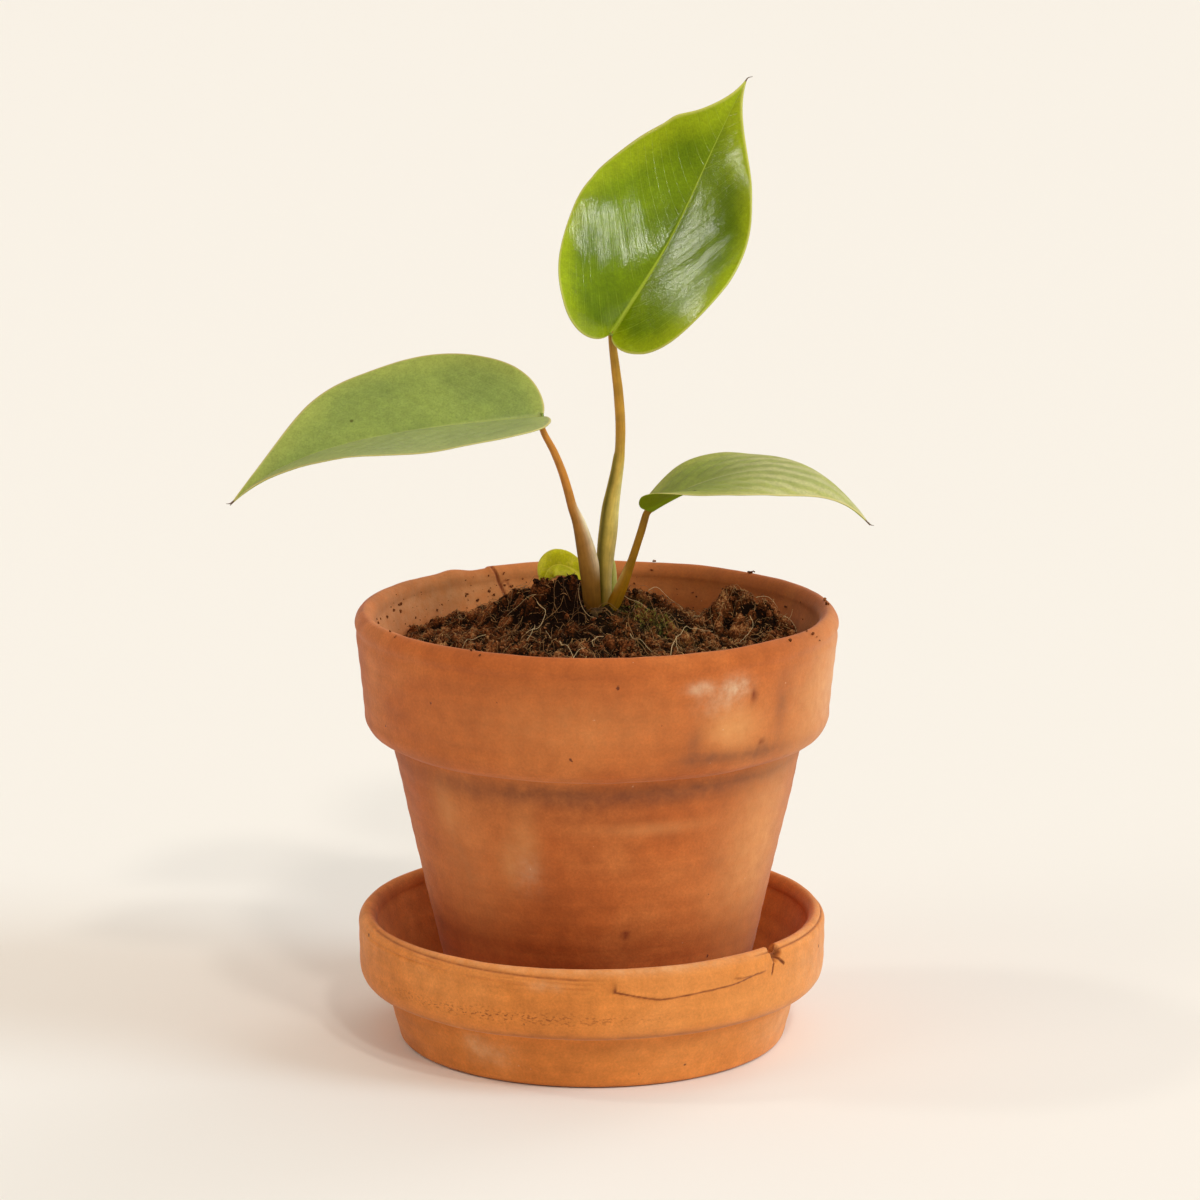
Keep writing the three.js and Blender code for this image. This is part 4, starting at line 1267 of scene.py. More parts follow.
    def build_roots(self) -> None:
        """Builds the pale dead roots of the photograph, through places x, y and height over the bed."""
        routes = (
            ((-4.6, 8.2, 1.5), (-4.9, 5.6, 0.6), (-4.2, 3.0, 0.8), (-2.6, 0.6, 1.4), (0.0, -1.7, 1.0)),
            ((6.8, 6.2, 1.6), (10.0, 4.6, 1.5), (13.8, 3.4, 1.0)),
            ((-16.4, 7.4, 1.4), (-20.6, 7.5, 1.6), (-24.6, 8.1, 1.0)),
            ((-16.2, 6.3, 1.0), (-14.0, 3.4, 1.0), (-14.6, 0.6, 1.1), (-19.0, -4.0, 0.9)),
            ((-16.7, 1.7, 0.8), (-17.4, -5.1, 1.5), (-18.6, -11.0, 1.0)),
            ((-9.9, -12.4, 0.8), (-8.2, -18.0, 1.5), (-6.0, -22.4, 1.1)),
            ((-6.2, -22.2, 1.0), (-4.4, -19.6, 1.5), (-3.0, -16.8, 1.0)),
            ((-13.7, -3.1, 1.0), (-12.4, -10.7, 1.0)),
            ((19.6, -18.6, 1.0), (20.7, -12.0, 1.6), (22.8, -5.9, 1.7), (26.2, 0.6, 1.8), (31.1, 0.4, 1.2)),
            ((21.2, -8.0, 1.2), (21.5, -18.4, 1.2)),
            ((41.4, 7.4, 2.6), (42.3, 4.6, 2.2), (40.9, 2.4, 1.6), (38.2, -6.6, 1.2)),
            ((43.4, 15.4, 0.6), (46.2, 17.0, 1.8), (49.4, 19.4, 2.4)),
            ((52.0, 12.6, 1.0), (52.8, 12.4, 3.0), (53.2, 12.2, 5.2)),
            ((50.6, 8.9, 1.4), (53.0, 9.6, 2.2), (54.2, 8.4, 1.8), (53.2, 7.2, 1.3)),
            ((24.0, 30.0, 0.8), (27.4, 33.0, 2.0), (31.0, 31.5, 1.2)),
            ((0.0, -10.8, 0.8), (-1.2, -13.0, 1.2), (-0.8, -15.6, 0.7)),
            ((1.8, -11.2, 0.7), (-0.2, -11.4, 1.1), (-1.6, -13.0, 0.7)),
            ((14.0, 10.0, 1.0), (18.0, 13.0, 2.2), (23.5, 14.0, 1.2)),
            ((-30.0, 2.0, 0.9), (-34.0, -3.0, 1.4), (-37.0, -9.0, 0.9)),
            ((-26.0, -22.0, 0.9), (-31.0, -20.0, 1.4), (-36.5, -21.0, 1.0)),
            ((28.0, -22.0, 0.9), (33.0, -19.0, 1.4), (37.5, -20.5, 0.9)),
            ((8.9, -7.6, 0.8), (11.5, -12.2, 1.2), (14.8, -15.9, 0.8)),
            ((-8.0, 27.0, 0.9), (-2.0, 32.0, 1.5), (5.0, 33.0, 0.9)),
        )
        random = np.random.default_rng(95)
        steps = 22
        paths = []
        for route in routes:
            way = smooth_path(np.array(route, dtype=float), steps)
            sway = 0.1 * np.sin(np.linspace(0, random.uniform(3, 7), steps))
            way[:, :2] += sway[:, None] * random.normal(size=2)
            way[:, 2] += self.ground(way[:, 0], way[:, 1]) - 0.1
            paths.append(way)
        radii = random.uniform(0.055, 0.1, (len(routes), 1)) * np.linspace(1.0, 0.55, steps)
        tone = random.uniform(0.35, 1.0, len(routes))
        self.build_threads("pale_root_threads", np.array(paths), radii, 6, tone, self.pale)

    def build_moss(self) -> None:
        """Builds short upright moss leaves where the bed is green."""
        random = np.random.default_rng(97)
        count = 420
        x = random.normal(14.5, 7.0, count)
        y = random.normal(0.5, 4.5, count)
        away = np.hypot(x - self.crown[0], y - self.crown[1])
        keep = (self.mossy(x, y) > random.uniform(0.15, 0.7, count)) & (away > 5.4)
        x, y = x[keep], y[keep]
        share = np.linspace(0.0, 1.0, 4)
        lean = random.normal(0.0, 0.5, (len(x), 2))
        tall = random.uniform(0.4, 1.0, (len(x), 1))
        base = self.crumbled(x, y)[:, None] - 0.15
        way_x, way_y = (at[:, None] + lean[:, i : i + 1] * share**1.5 for i, at in enumerate((x, y)))
        paths = np.stack([way_x, way_y, base + tall * share], axis=-1)
        radii = random.uniform(0.07, 0.14, (len(x), 1)) * (1.0 - 0.75 * share)
        tone = random.uniform(0.0, 1.0, len(x))
        self.build_threads("moss_tufts", paths, radii, 4, tone, self.moss)


# Stalks


@dataclass
class Stalk:
    """One petiole, swept through its stations, with a groove up it and a thin sheath wing at its foot.

    A station is x, y, z, half width across the view and half depth. Turn is counted in degrees round the
    section from +X, against the clock from above. Groove and wing each hold a strength and the shares of
    the stalk's length where they start and end.
    """

    name: str
    node: str
    slot: str
    skin: StalkSkin
    stations: Rows
    rings: int
    seed: int
    groove_turn: float = 110.0
    groove: Row = (0.0, 0.0, 0.0)
    groove_width: float = 40.0
    wing_turn: float = 0.0
    wing: Row = (0.0, 0.0, 0.0)
    wing_width: float = 30.0
    sides: int = 32

    def build(self) -> None:
        """Builds the sweep: centre + a cos t across + b sin t along.

        The half sizes a and b are times 1 - 0.24 groove + 0.16 wing + 0.02 noise.
        """
        way = smooth_path(np.array(self.stations, dtype=float), self.rings)
        centre, half = way[:, :3], way[:, 3:]
        tangent = unit(np.gradient(centre, axis=0))
        across = unit(np.cross(np.array([0.0, 1.0, 0.0]), tangent))
        along = np.cross(tangent, across)
        turn = 2 * math.pi * np.arange(self.sides) / self.sides
        rise = np.linspace(0.0, 1.0, self.rings)[:, None]
        reach = walked(centre)[:, None]
        groove, wing = (
            self.lengthwise(rise, spread) * self.round_from(turn, middle, width)
            for spread, middle, width in (
                (self.groove, self.groove_turn, self.groove_width),
                (self.wing, self.wing_turn, self.wing_width),
            )
        )
        place = np.stack(np.broadcast_arrays(turn * 2.0, reach * 0.25), axis=-1)
        scale = 1.0 - 0.24 * groove + 0.16 * wing + 0.02 * soft_noise(place, 1.0, self.seed)
        offset = across[:, None] * (half[:, :1] * scale * np.cos(turn))[..., None]
        offset = offset + along[:, None] * (half[:, 1:] * scale * np.sin(turn))[..., None]
        points = (centre[:, None] + offset).reshape(-1, 3)
        faces = [
            grid_faces(self.rings, self.sides, closed=True),
            np.arange(self.sides)[::-1][None, :],
            (np.arange(self.sides) + (self.rings - 1) * self.sides)[None, :],
        ]
        attributes = {
            "rise": rise, "groove": np.clip(1.3 * groove, 0, 1), "wing": np.clip(1.1 * wing, 0, 1),
            "turn": np.sin(turn + 0.4) * 2.5, "reach": reach * 0.06,
        }
        attributes = {key: np.broadcast_to(value, groove.shape) for key, value in attributes.items()}
        make_piece(self.name, points, faces, self.skin.material(), [self.node], attributes)

    @staticmethod
    def lengthwise(rise: Array, spread: Row) -> Array:
        """Strength up the stalk: it fades in before the start, holds, and fades out after the end."""
        strength, start, end = spread
        return strength * between(rise, (start - 0.12, start), (end, end + 0.15))

    @staticmethod
    def round_from(turn: Array, middle: float, width: float) -> Array:
        """exp(-(d / width)^2) of the angle d from the middle."""
        return hump((np.degrees(turn) - middle + 180.0) % 360.0 - 180.0, 0.0, width)


# Leaves


@dataclass
class Blade:
    """A heart-shaped leaf blade.

    The midrib is a cubic curve. Roll and fold are degrees at the stalk, half way and at the tip. Pairs are
    the right and the left half, seen from above with the tip ahead. Wave is a height, a count and a phase,
    kink a place round the outline, a reach and a depth on the left half. Widest is the outline's place of
    its greatest width.
    """

    name: str
    node: str
    slot: str
    skin: LeafSkin
    midrib: Rows
    facing: Row
    half_width: Row
    widest_at: Row
    lobe_length: Row
    lobe_width: Row
    taper: Row
    roll: Row
    fold: Row
    wave: Row
    seed: int
    thickness: float = 0.55
    rib_height: float = 0.8
    rows: int = 128
    half_columns: int = 36
    vein_bend: float = 0.55
    quilt: float = 0.2
    vein_spacing: float = 8.0
    kink: Row = (0.74, 0.035, 0.0)
    widest: ClassVar[float] = 0.42

    def __post_init__(self) -> None:
        """Measures the midrib."""
        self.steps = np.linspace(0.0, 1.0, 600)
        self.walked = walked(bezier(self.midrib, self.steps))
        self.length = float(self.walked[-1])

    def margin(self, t: Array, side: Side) -> Array:
        """The outline, across and along: one curve round the basal lobe and one on to the tip.

        Args:
            t: 0 at the stalk and 1 at the tip.
            side: Which half of the blade.

        Returns:
            Distance from the midrib and distance along it.
        """
        i = side.value
        width, reach = self.half_width[i], self.widest_at[i] * self.length
        lobe = 1.5 * self.lobe_length[i] * self.length
        shoulder, waist, waist_at = self.taper
        first = [
            (0.3, 0.0), (0.05 * width, -0.97 * lobe), (self.lobe_width[i] * width, -lobe), (width, reach),
        ]
        second = [
            (width, reach), (width, reach + shoulder * (self.length - reach)),
            (waist * width, waist_at * self.length), (0.0, self.length),
        ]
        low = bezier(first, np.clip(t / self.widest, 0.0, 1.0))
        high = bezier(second, np.clip((t - self.widest) / (1.0 - self.widest), 0.0, 1.0))
        return np.where((t < self.widest)[..., None], low, high)

    @staticmethod
    def along3(values: Row, k: Array) -> Array:
        """The parabola through the values a, b and c at 0, a half and 1: a + (4b-3a-c) k + (2a-4b+2c) k^2."""
        first, middle, last = values
        return first + (-3 * first + 4 * middle - last) * k + (2 * first - 4 * middle + 2 * last) * k * k

    def frame_at(self, distance: Array) -> tuple[Array, Array, Array]:
        """The midrib's frame: its point and the blade's up and right there.

        The tangent is (1-s)^2 (b-a) + 2 (1-s) s (c-b) + s^2 (d-c), made one long. Up is the facing vector
        without its part along the tangent, turned about the tangent by the roll.

        Args:
            distance: How far along the midrib. Below 0 it goes straight on behind the stalk.

        Returns:
            Point, up and right.
        """
        k = np.clip(distance / self.length, 0.0, 1.0)
        t = np.interp(k * self.length, self.walked, self.steps)
        a, b, c, d = (np.array(p, dtype=float) for p in self.midrib)
        s = np.clip(t, 1e-3, 1 - 1e-3)[..., None]
        tangent = unit((1 - s) ** 2 * (b - a) + 2 * (1 - s) * s * (c - b) + s**2 * (d - c))
        point = bezier(self.midrib, t) + tangent * np.minimum(distance, 0.0)[..., None]
        facing = np.array(self.facing, dtype=float)
        level = unit(facing - np.sum(facing * tangent, axis=-1, keepdims=True) * tangent)
        turn = np.radians(self.along3(self.roll, k))[..., None]
        up = level * np.cos(turn) + np.cross(tangent, level) * np.sin(turn)
        return point, up, np.cross(tangent, up)

    def surface(self, t: Array, q: Array, side: Side) -> tuple[Array, dict[str, Array]]:
        """The middle surface, with what the finish reads.

        Across is q times the outline's distance. The distance along starts at length * t^1.5 on the midrib
        and goes to the outline's by q^1.15. The half is folded up along the midrib, its edge is waved, and
        the tissue is raised a little between the side veins.

        Args:
            t: Place round the outline.
            q: 0 on the midrib and 1 on the margin.
            side: Which half.

        Returns:
            The points, and the attributes across, vein, edge and ahead.
        """
        t, q = np.broadcast_arrays(t, q)
        sign = 1.0 if side is Side.RIGHT else -1.0
        outline = self.margin(t, side)
        start = self.length * t**1.5
        margin_place = np.stack([t * 9.0, np.full(t.shape, 2.0 * side.value)], axis=-1)
        uneven = 0.014 * soft_noise(margin_place, 1.0, self.seed + 7)
        kink_at, kink_reach, kink_depth = self.kink
        kink = side.value * kink_depth * hump(t, kink_at, kink_reach)
        across = q * outline[..., 0] * (1.0 + uneven * q + kink * q**2)
        distance = start + (outline[..., 1] - start) * q**1.15
        point, up, right = self.frame_at(distance)
        k = np.clip(distance / self.length, -0.1, 1.0)
        fold = np.radians(self.along3(self.fold, k))
        height, count, phase = self.wave
        wide = np.clip(outline[..., 0] / self.half_width[side.value], 0.0, 1.0)
        lift = height * np.sin(2 * math.pi * (count * k + phase + 0.37 * side.value)) * q**2 * wide
        vein = distance - self.vein_bend * across**1.3 + (3.1 if side is Side.LEFT else 0.0)
        swell = np.abs(np.sin(math.pi * vein / self.vein_spacing)) * 4 * q * (1 - q) * wide
        place = np.stack([sign * across, distance], axis=-1)
        lift = lift + self.quilt * swell + 0.35 * soft_noise(place, 11.0, self.seed) * q * wide
        lift = lift + 0.035 * soft_noise(place * np.array([1.0, 0.5]), 1.8, self.seed + 1)
        points = point + right * (sign * across * np.cos(fold))[..., None]
        points = points + up * (across * np.sin(fold) + lift)[..., None]
        inner = (1.0 - q) * np.minimum(outline[..., 0], 0.6 * np.abs(self.length - distance) + 0.2)
        return points, {"across": sign * across, "vein": vein, "edge": inner, "ahead": k}

    def build(self) -> None:
        """Builds the blade: the middle surface thickened along its normals, with the rib proud below."""
        t = np.linspace(0.004, 1.0, self.rows)[:, None]
        q = np.linspace(0.0, 1.0, self.half_columns)[None, :] ** 0.9
        left, left_read = self.surface(t, q[:, :0:-1], Side.LEFT)
        right, right_read = self.surface(t, q, Side.RIGHT)
        middle = np.concatenate([left, right], axis=1)
        read = {key: np.concatenate([left_read[key], right_read[key]], axis=1) for key in left_read}
        normal = unit(np.cross(np.gradient(middle, axis=1), np.gradient(middle, axis=0)))
        normal[-1] = normal[-2]
        share = np.concatenate([q[:, :0:-1], q], axis=1)
        half = 0.5 * self.thickness * (0.25 + 0.75 * np.sqrt(1.0 - share**10))
        half = half * (1.0 - smoothstep(0.93, 1.0, t)) + 0.02
        rib = self.rib_height * (1.0 - 0.8 * t) * hump(read["across"], 0.0, 1.1)
        dent = 0.25 * hump(read["across"], 0.0, 0.8) * (1.0 - t)
        top = middle + normal * (half - dent)[..., None]
        under = middle - normal * (half + rib)[..., None]
        rows, columns = middle.shape[:2]
        count = rows * columns
        quads = grid_faces(rows, columns)
        rim = grid_rim(rows, columns)
        faces = [quads, quads[:, [0, 3, 2, 1]] + count, loop_faces(rim, rim + count)]
        attributes = {key: np.concatenate([value.ravel(), value.ravel()]) for key, value in read.items()}
        attributes["under"] = np.concatenate([np.zeros(count), np.ones(count)])
        points = np.concatenate([top.reshape(-1, 3), under.reshape(-1, 3)])
        make_piece(
            self.name, points, faces, self.skin.material(), [self.node], attributes, weld=True
        )


# Studio


@dataclass
class Studio:
    """A plain pale floor, soft light from the right and a camera at the photograph's viewing angle."""

    focal_pixels: float = 4564.0
    picture: int = 1200
    sensor: float = 36.0
    camera_at: Row = (0.85, -1201.0, 376.0)
    pitch: float = 12.02
    floor_half: float = 12.0
    paper: MattPaper = MattPaper("matt_pale_paper", tint="f3efe7")
    sky_tint: str = "fff2e6"
    seen_tint: str = "f6efe3"
    sky: Row = (0.45, 0.26, 0.1, 0.2)
    sky_least: float = 0.05
    widest_highlight: float = 20.0
    lamps: tuple[tuple[str, float, float, float, float, str], ...] = (
        ("key_right", -17.0, 31.0, 24.0, 1.3, "d4eeff"),
        ("edge_right", 48.0, 24.0, 30.0, 0.55, "f4f8ff"),
        ("front_low", -71.0, 43.0, 5.0, 0.42, "fffaf2"),
        ("front_high", -58.0, 53.0, 5.0, 0.36, "fffaf2"),
        ("left_narrow", 177.0, 48.0, 6.0, 0.26, "fffaf2"),
        ("left_wide", 212.0, 36.0, 26.0, 0.26, "fffaf2"),
    )

    def build(self) -> None:
        """Builds camera, lights, surroundings and floor."""
        self.build_camera()
        self.build_lights()
        self.build_floor()

    def build_camera(self) -> None:
        """The camera: lens = sensor * focal length in pixels / picture width."""
        data = bpy.data.cameras.new("camera")
        data.sensor_width = self.sensor
        data.lens = self.sensor * self.focal_pixels / self.picture
        data.clip_end = 100.0
        camera = bpy.data.objects.new("camera", data)
        camera.location = Vector(self.camera_at) * MM
        camera.rotation_euler = (math.radians(90.0 - self.pitch), 0.0, 0.0)
        bpy.context.scene.collection.objects.link(camera)
        bpy.context.scene.camera = camera

    def build_lights(self) -> None:
        """Soft suns and a sky of base + right * x + back * y + up * z of the direction, at least sky_least.

        What mirrors the sky sees half of it, and the camera sees a plain tint.
        """
        for lamp in self.lamps:
            self.add_light(*lamp)
        world = bpy.data.worlds.new("studio")
        world.use_nodes = True
        world.node_tree.nodes.clear()
        add = partial(add_node, world.node_tree)
        base, *lean = self.sky
        way = add("TexCoord", output="Generated")
        even = add("VectorMath", way, tuple(lean), output="Value", operation="DOT_PRODUCT")
        strength = add("Math", add("Math", even, base, operation="ADD"), self.sky_least, operation="MAXIMUM")
        mirrored, straight_seen = (add("LightPath", output=f"Is {ray} Ray") for ray in ("Glossy", "Camera"))
        dimmed = add("Math", strength, add("MapRange", mirrored, 0.0, 1.0, 1.0, 0.5), operation="MULTIPLY")
        light = add("Background", self.sky_tint, dimmed)
        add("OutputWorld", add("MixShader", straight_seen, light, add("Background", self.seen_tint, 1.0)))
        bpy.context.scene.world = world
        bpy.context.scene.view_settings.view_transform = "Standard"

    def add_light(
        self, name: str, azimuth: float, height: float, width: float, power: float, colour: str
    ) -> None:
        """Adds a sun. Only a narrow one gives highlights.

        Args:
            name: The sun's name.
            azimuth: Where it stands, in degrees from +X towards +Y.
            height: Its height over the horizon in degrees.
            width: How wide it looks, in degrees.
            power: Its strength.
            colour: Its hex colour.
        """
        a, h = math.radians(azimuth), math.radians(height)
        way = Vector((math.cos(a) * math.cos(h), math.sin(a) * math.cos(h), math.sin(h)))
        data = bpy.data.lights.new(name, "SUN")
        data.energy = power
        data.color = linear(colour)[:3]
        data.angle = math.radians(width)
        lamp = bpy.data.objects.new(name, data)
        lamp.location = way * 2.0
        lamp.visible_glossy = width < self.widest_highlight
        lamp.rotation_euler = way.to_track_quat("Z", "Y").to_euler()
        bpy.context.scene.collection.objects.link(lamp)

    def build_floor(self) -> None:
        """The floor: a sheet of paper with points 1 m apart, just under the saucer."""
        line = np.linspace(-self.floor_half, self.floor_half, 25)
        x, y = np.meshgrid(line, line)
        points = np.stack([x, y, np.full(x.shape, -0.2 * MM)], axis=-1).reshape(-1, 3)
        mesh = bpy.data.meshes.new("floor")
        mesh.from_pydata(points.tolist(), [], grid_faces(25, 25).tolist())
        mesh.materials.append(self.paper.material())
        floor = bpy.data.objects.new("floor", mesh)
        bpy.context.scene.collection.objects.link(floor)


# The whole plant


# Their bloom and ochre colours also lay painted light, their stain and scar colours painted shade.
SAUCER_CLAY = FiredClay(
    "fired_terracotta_saucer", deep="ce7a34", body="da853c", light="e2924c", bloom="e8be90", scar="6e2c14"
)
POT_CLAY = FiredClay(
    "fired_terracotta_pot", deep="ae5824", body="be652c", light="cc783c", bloom="dfba94", ochre="e09a5c"
)

GLOSSY_GREEN = LeafSkin(
    "waxy_mature_leaf", deep="5e7600", green="748c00", yellow="a8b814", rib="b4c63c", rim="d6d06c",
    under="8a9c3c", roughness=0.13, vein=0.3, midrib=0.8, dry_tip=0.985, specular=0.45,
)
# The level leaf's paler near half is a painted reflection of the pale surroundings, and the small leaf's pale
# bands are painted highlights.
PALE_GREEN = LeafSkin(
    "waxy_level_leaf", deep="7a8f26", green="8fa232", yellow="a9b43c", rib="b4bc6c", rim="dcc67c",
    under="96a848", roughness=0.34, vein=0.2, midrib=0.45, painted_sheen="a2a87a", painted_sheen_at=(-1.0, 0.25, 0.6),
)
# The small leaf's bright lime underside colour is painted light passing through the leaf.
SHEEN_GREEN = LeafSkin(
    "waxy_small_leaf", deep="84913a", green="95a040", yellow="b0b250", rib="c4c68c", rim="dcc98a",
    under="94ae12", roughness=0.4, vein=0.12, midrib=0.4, dry_tip=0.965, painted_sheen="c4c084", painted_highlight_bands=0.85,
)
YOUNG_GREEN = LeafSkin(
    "tender_young_leaf", deep="c8c80c", green="d8d414", yellow="e6e22c", rib="e8e04c", rim="dcd444",
    under="ccd018", roughness=0.34, margin=1.6, blotch=0.4, vein=0.15, dry_tip=1.1,
)


def make_stalks() -> list[Stalk]:
    """The three stalks with the young leaf's and the new shoot."""
    # The tan skin's golden middle is partly its own colour and partly painted light.
    tan = StalkSkin(
        "petiole_tan", foot="745610", middle="f2d868", top="b88830", groove="70691e", wing="dcd090"
    )
    orange = StalkSkin(
        "petiole_orange", foot="5a3804", middle="a87830", top="c88436", groove="96702c", wing="f4e2b8"
    )
    olive = StalkSkin(
        "petiole_olive", foot="785806", middle="a47008", top="ae8020", groove="86681c", wing="c8aa60"
    )
    lime = StalkSkin(
        "tender_shoot", foot="a9a93c", middle="ccd068", top="d4d880", groove="aab044", wing="dcdcac",
        roughness=0.35,
    )
    return [
        Stalk(
            "stalk_top_skin", "stalk_top", "stalk", tan,
            (
                (2.2, 5.9, 113.0, 1.5, 1.5), (2.3, 6.0, 116.4, 1.6, 1.6), (2.15, 6.4, 120.9, 1.75, 1.75),
                (1.95, 7.2, 126.5, 2.05, 1.8), (2.3, 7.9, 132, 2.4, 1.8), (2.9, 8.3, 137.5, 2.5, 1.75),
                (3.45, 8.3, 143.1, 2.35, 1.65), (4.35, 8.3, 148.6, 2.0, 1.5), (5.2, 8.3, 153.2, 1.75, 1.4),
                (5.85, 8.2, 157.4, 1.6, 1.35), (6.2, 8.2, 160, 1.36, 1.3), (6.35, 8.3, 165.1, 1.34, 1.3),
                (6.15, 8.5, 170.6, 1.34, 1.28), (5.7, 8.8, 176, 1.3, 1.22), (5.05, 9.1, 181.5, 1.22, 1.15),
                (4.5, 9.4, 185.8, 1.12, 1.05), (4.1, 9.3, 189.4, 1.0, 0.95), (3.9, 8.6, 192.2, 0.9, 0.75),
            ),
            groove_turn=222.0, groove=(0.75, 0.1, 0.5), groove_width=40.0,
            wing_turn=335.0, wing=(0.6, 0.14, 0.42), wing_width=30.0, rings=170, seed=21,
        ),
        Stalk(
            "stalk_left_skin", "stalk_left", "stalk", orange,
            (
                (-0.9, 5.2, 113.0, 2.3, 1.6), (-1.2, 4.9, 117.4, 2.45, 1.7), (-1.6, 4.6, 121.9, 2.65, 1.75),
                (-2.15, 4.2, 127.4, 2.75, 1.65), (-2.8, 3.9, 131.3, 2.55, 1.5),
                (-3.75, 3.7, 135.7, 2.25, 1.4),
                (-5.1, 3.4, 141.0, 1.7, 1.3), (-6.55, 3.1, 145.1, 1.3, 1.2), (-7.7, 2.9, 149.5, 1.2, 1.12),
                (-9.3, 2.6, 154.9, 1.12, 1.08), (-11.5, 2.3, 160.4, 1.0, 1.0), (-13.8, 2.1, 164.8, 0.9, 0.9),
                (-14.7, 2.05, 167.2, 0.82, 0.8), (-15.0, 2.0, 169.4, 0.7, 0.6),
            ),
            groove_turn=195.0, groove=(0.5, 0.1, 0.42), groove_width=36.0,
            wing_turn=342.0, wing=(1.0, 0.3, 0.44), wing_width=36.0, rings=140, seed=22,
        ),
        Stalk(
            "stalk_right_skin", "stalk_right", "stalk", olive,
            (
                (3.6, 5.8, 112.8, 1.7, 1.4), (4.15, 5.2, 116.9, 1.82, 1.5), (5.0, 4.8, 119.1, 1.84, 1.45),
                (6.2, 4.3, 121.9, 1.7, 1.35), (7.35, 3.8, 124.7, 1.5, 1.25), (8.35, 3.5, 127.4, 1.3, 1.15),
                (9.3, 3.2, 130.2, 1.13, 1.08), (10.2, 3.0, 133, 1.08, 1.05), (11.9, 2.6, 138.5, 1.05, 1.0),
                (12.65, 2.4, 141.2, 1.03, 0.98), (13.5, 2.2, 143.8, 0.95, 0.88), (15.2, 2.1, 145.2, 0.8, 0.7),
            ),
            groove_turn=285.0, groove=(0.3, 0.1, 0.5), groove_width=30.0,
            wing_turn=195.0, wing=(0.9, 0.34, 0.42), wing_width=34.0, rings=110, seed=23,
        ),
        Stalk(
            "new_shoot_skin", "new_shoot", "shoot", lime,
            (
                (4.1, 10.2, 114.5, 1.0, 0.8), (4.2, 10.6, 119.2, 1.15, 0.9), (4.25, 10.9, 121.5, 1.2, 1.0),
                (4.25, 11.2, 124.8, 1.15, 0.95), (4.3, 11.5, 127.6, 0.8, 0.65),
                (4.3, 11.7, 129.6, 0.15, 0.12),
            ),
            groove_turn=250.0, groove=(0.6, 0.2, 0.9), groove_width=26.0, rings=60, sides=28, seed=24,
        ),
        Stalk(
            "stalk_young_skin", "stalk_young", "shoot", lime,
            (
                (-0.9, 10.0, 116.4, 0.85, 0.85), (-1.3, 10.9, 118.2, 0.88, 0.88), (-2.1, 13.2, 120, 0.8, 0.8),
                (-3.1, 15.3, 121.9, 0.7, 0.7), (-3.9, 16.5, 122.9, 0.55, 0.5),
            ),
            rings=40, sides=20, seed=25,
        ),
    ]


def make_blades() -> list[Blade]:
    """The three leaf blades and the young one."""
    return [
        Blade(
            "leaf_top", "blade_top", "leaf_green", GLOSSY_GREEN,
            ((4, 8, 191.5), (26, 14, 224), (21, 24, 218.5), (40.5, 31, 257.5)), (0.2, -1, 0.25),
            (25, 26), (0.3, 0.47), (0.044, 0.076), (0.87, 1.2), (0.54, 0.13, 0.78),
            (-11, -34, -19), (34, 15, 24), (1.8, 2, 0.04), quilt=0.14, vein_spacing=13.0,
            kink=(0.755, 0.045, 0.1), seed=31,
        ),
        Blade(
            "leaf_left", "blade_left", "leaf_pale", PALE_GREEN,
            ((-14.5, 2, 170), (-41, 0, 167.5), (-78.5, -2, 166.5), (-98, -4, 147)), (0, 0, 1),
            (23.5, 23.5), (0.375, 0.3), (0.017, 0.032), (1.03, 0.92), (0.585, 0.233, 0.7),
            (-30, -23, -24), (26, 20, 28), (0.6, 2, -0.37), seed=32,
        ),
        Blade(
            "leaf_right", "blade_right", "leaf_pale", SHEEN_GREEN,
            ((14.5, 2, 145), (27.5, 2, 152.5), (53.5, 3, 166), (73.5, 4, 140)), (0, 0, 1),
            (18.5, 18.5), (0.345, 0.355), (0.043, 0.037), (0.91, 0.945), (0.155, 0.17, 0.81),
            (-9, 13, 10), (23, -5, -1), (0.75, 2, 0.43), quilt=0.3, vein_spacing=6.5, seed=33,
        ),
        Blade(
            "leaf_young", "blade_young", "leaf_young", YOUNG_GREEN,
            ((-3.6, 16.2, 122.5), (-6.8, 18.5, 126), (-14.2, 20.5, 129.6), (-14.8, 19.6, 118.6)),
            (0, -0.75, 0.65),
            (4.6, 4.6), (0.5, 0.5), (0.02, 0.02), (0.6, 0.6), (0.3, 0.2, 0.8),
            (0, 0, 0), (30, 16, 10), (0.25, 1, 0.1), thickness=0.45, rib_height=0.25,
            rows=70, half_columns=20, quilt=0.06, seed=34,
        ),
    ]


def make_tips() -> None:
    """The dry brown threads that end the leaves: tubes that thin out from 0.4 mm across."""
    routes = (
        ((40.1, 30.9, 256.6), (40.6, 31.0, 257.4), (41.2, 30.8, 257.7), (42.0, 30.5, 257.9)),
        ((-97.0, -3.9, 148.1), (-97.8, -4.0, 147.5), (-98.4, -4.0, 147.4), (-99.0, -4.0, 147.4)),
        ((72.9, 4.0, 140.8), (73.5, 4.0, 140.2), (74.0, 4.0, 140.0), (74.6, 4.0, 139.9)),
    )
    paths = np.array([smooth_path(np.array(route, dtype=float), 14) for route in routes])
    radii = np.broadcast_to(np.linspace(0.2, 0.05, 14), paths.shape[:2])
    points, faces = tubes(paths, radii, 8)
    dry = DryFibre("dry_leaf_tip", light="8a6a48", dark="4a3424")
    tone = np.full(len(points), 0.4)
    make_piece("leaf_tip_threads", points, faces, dry.material(), attributes={"tone": tone})


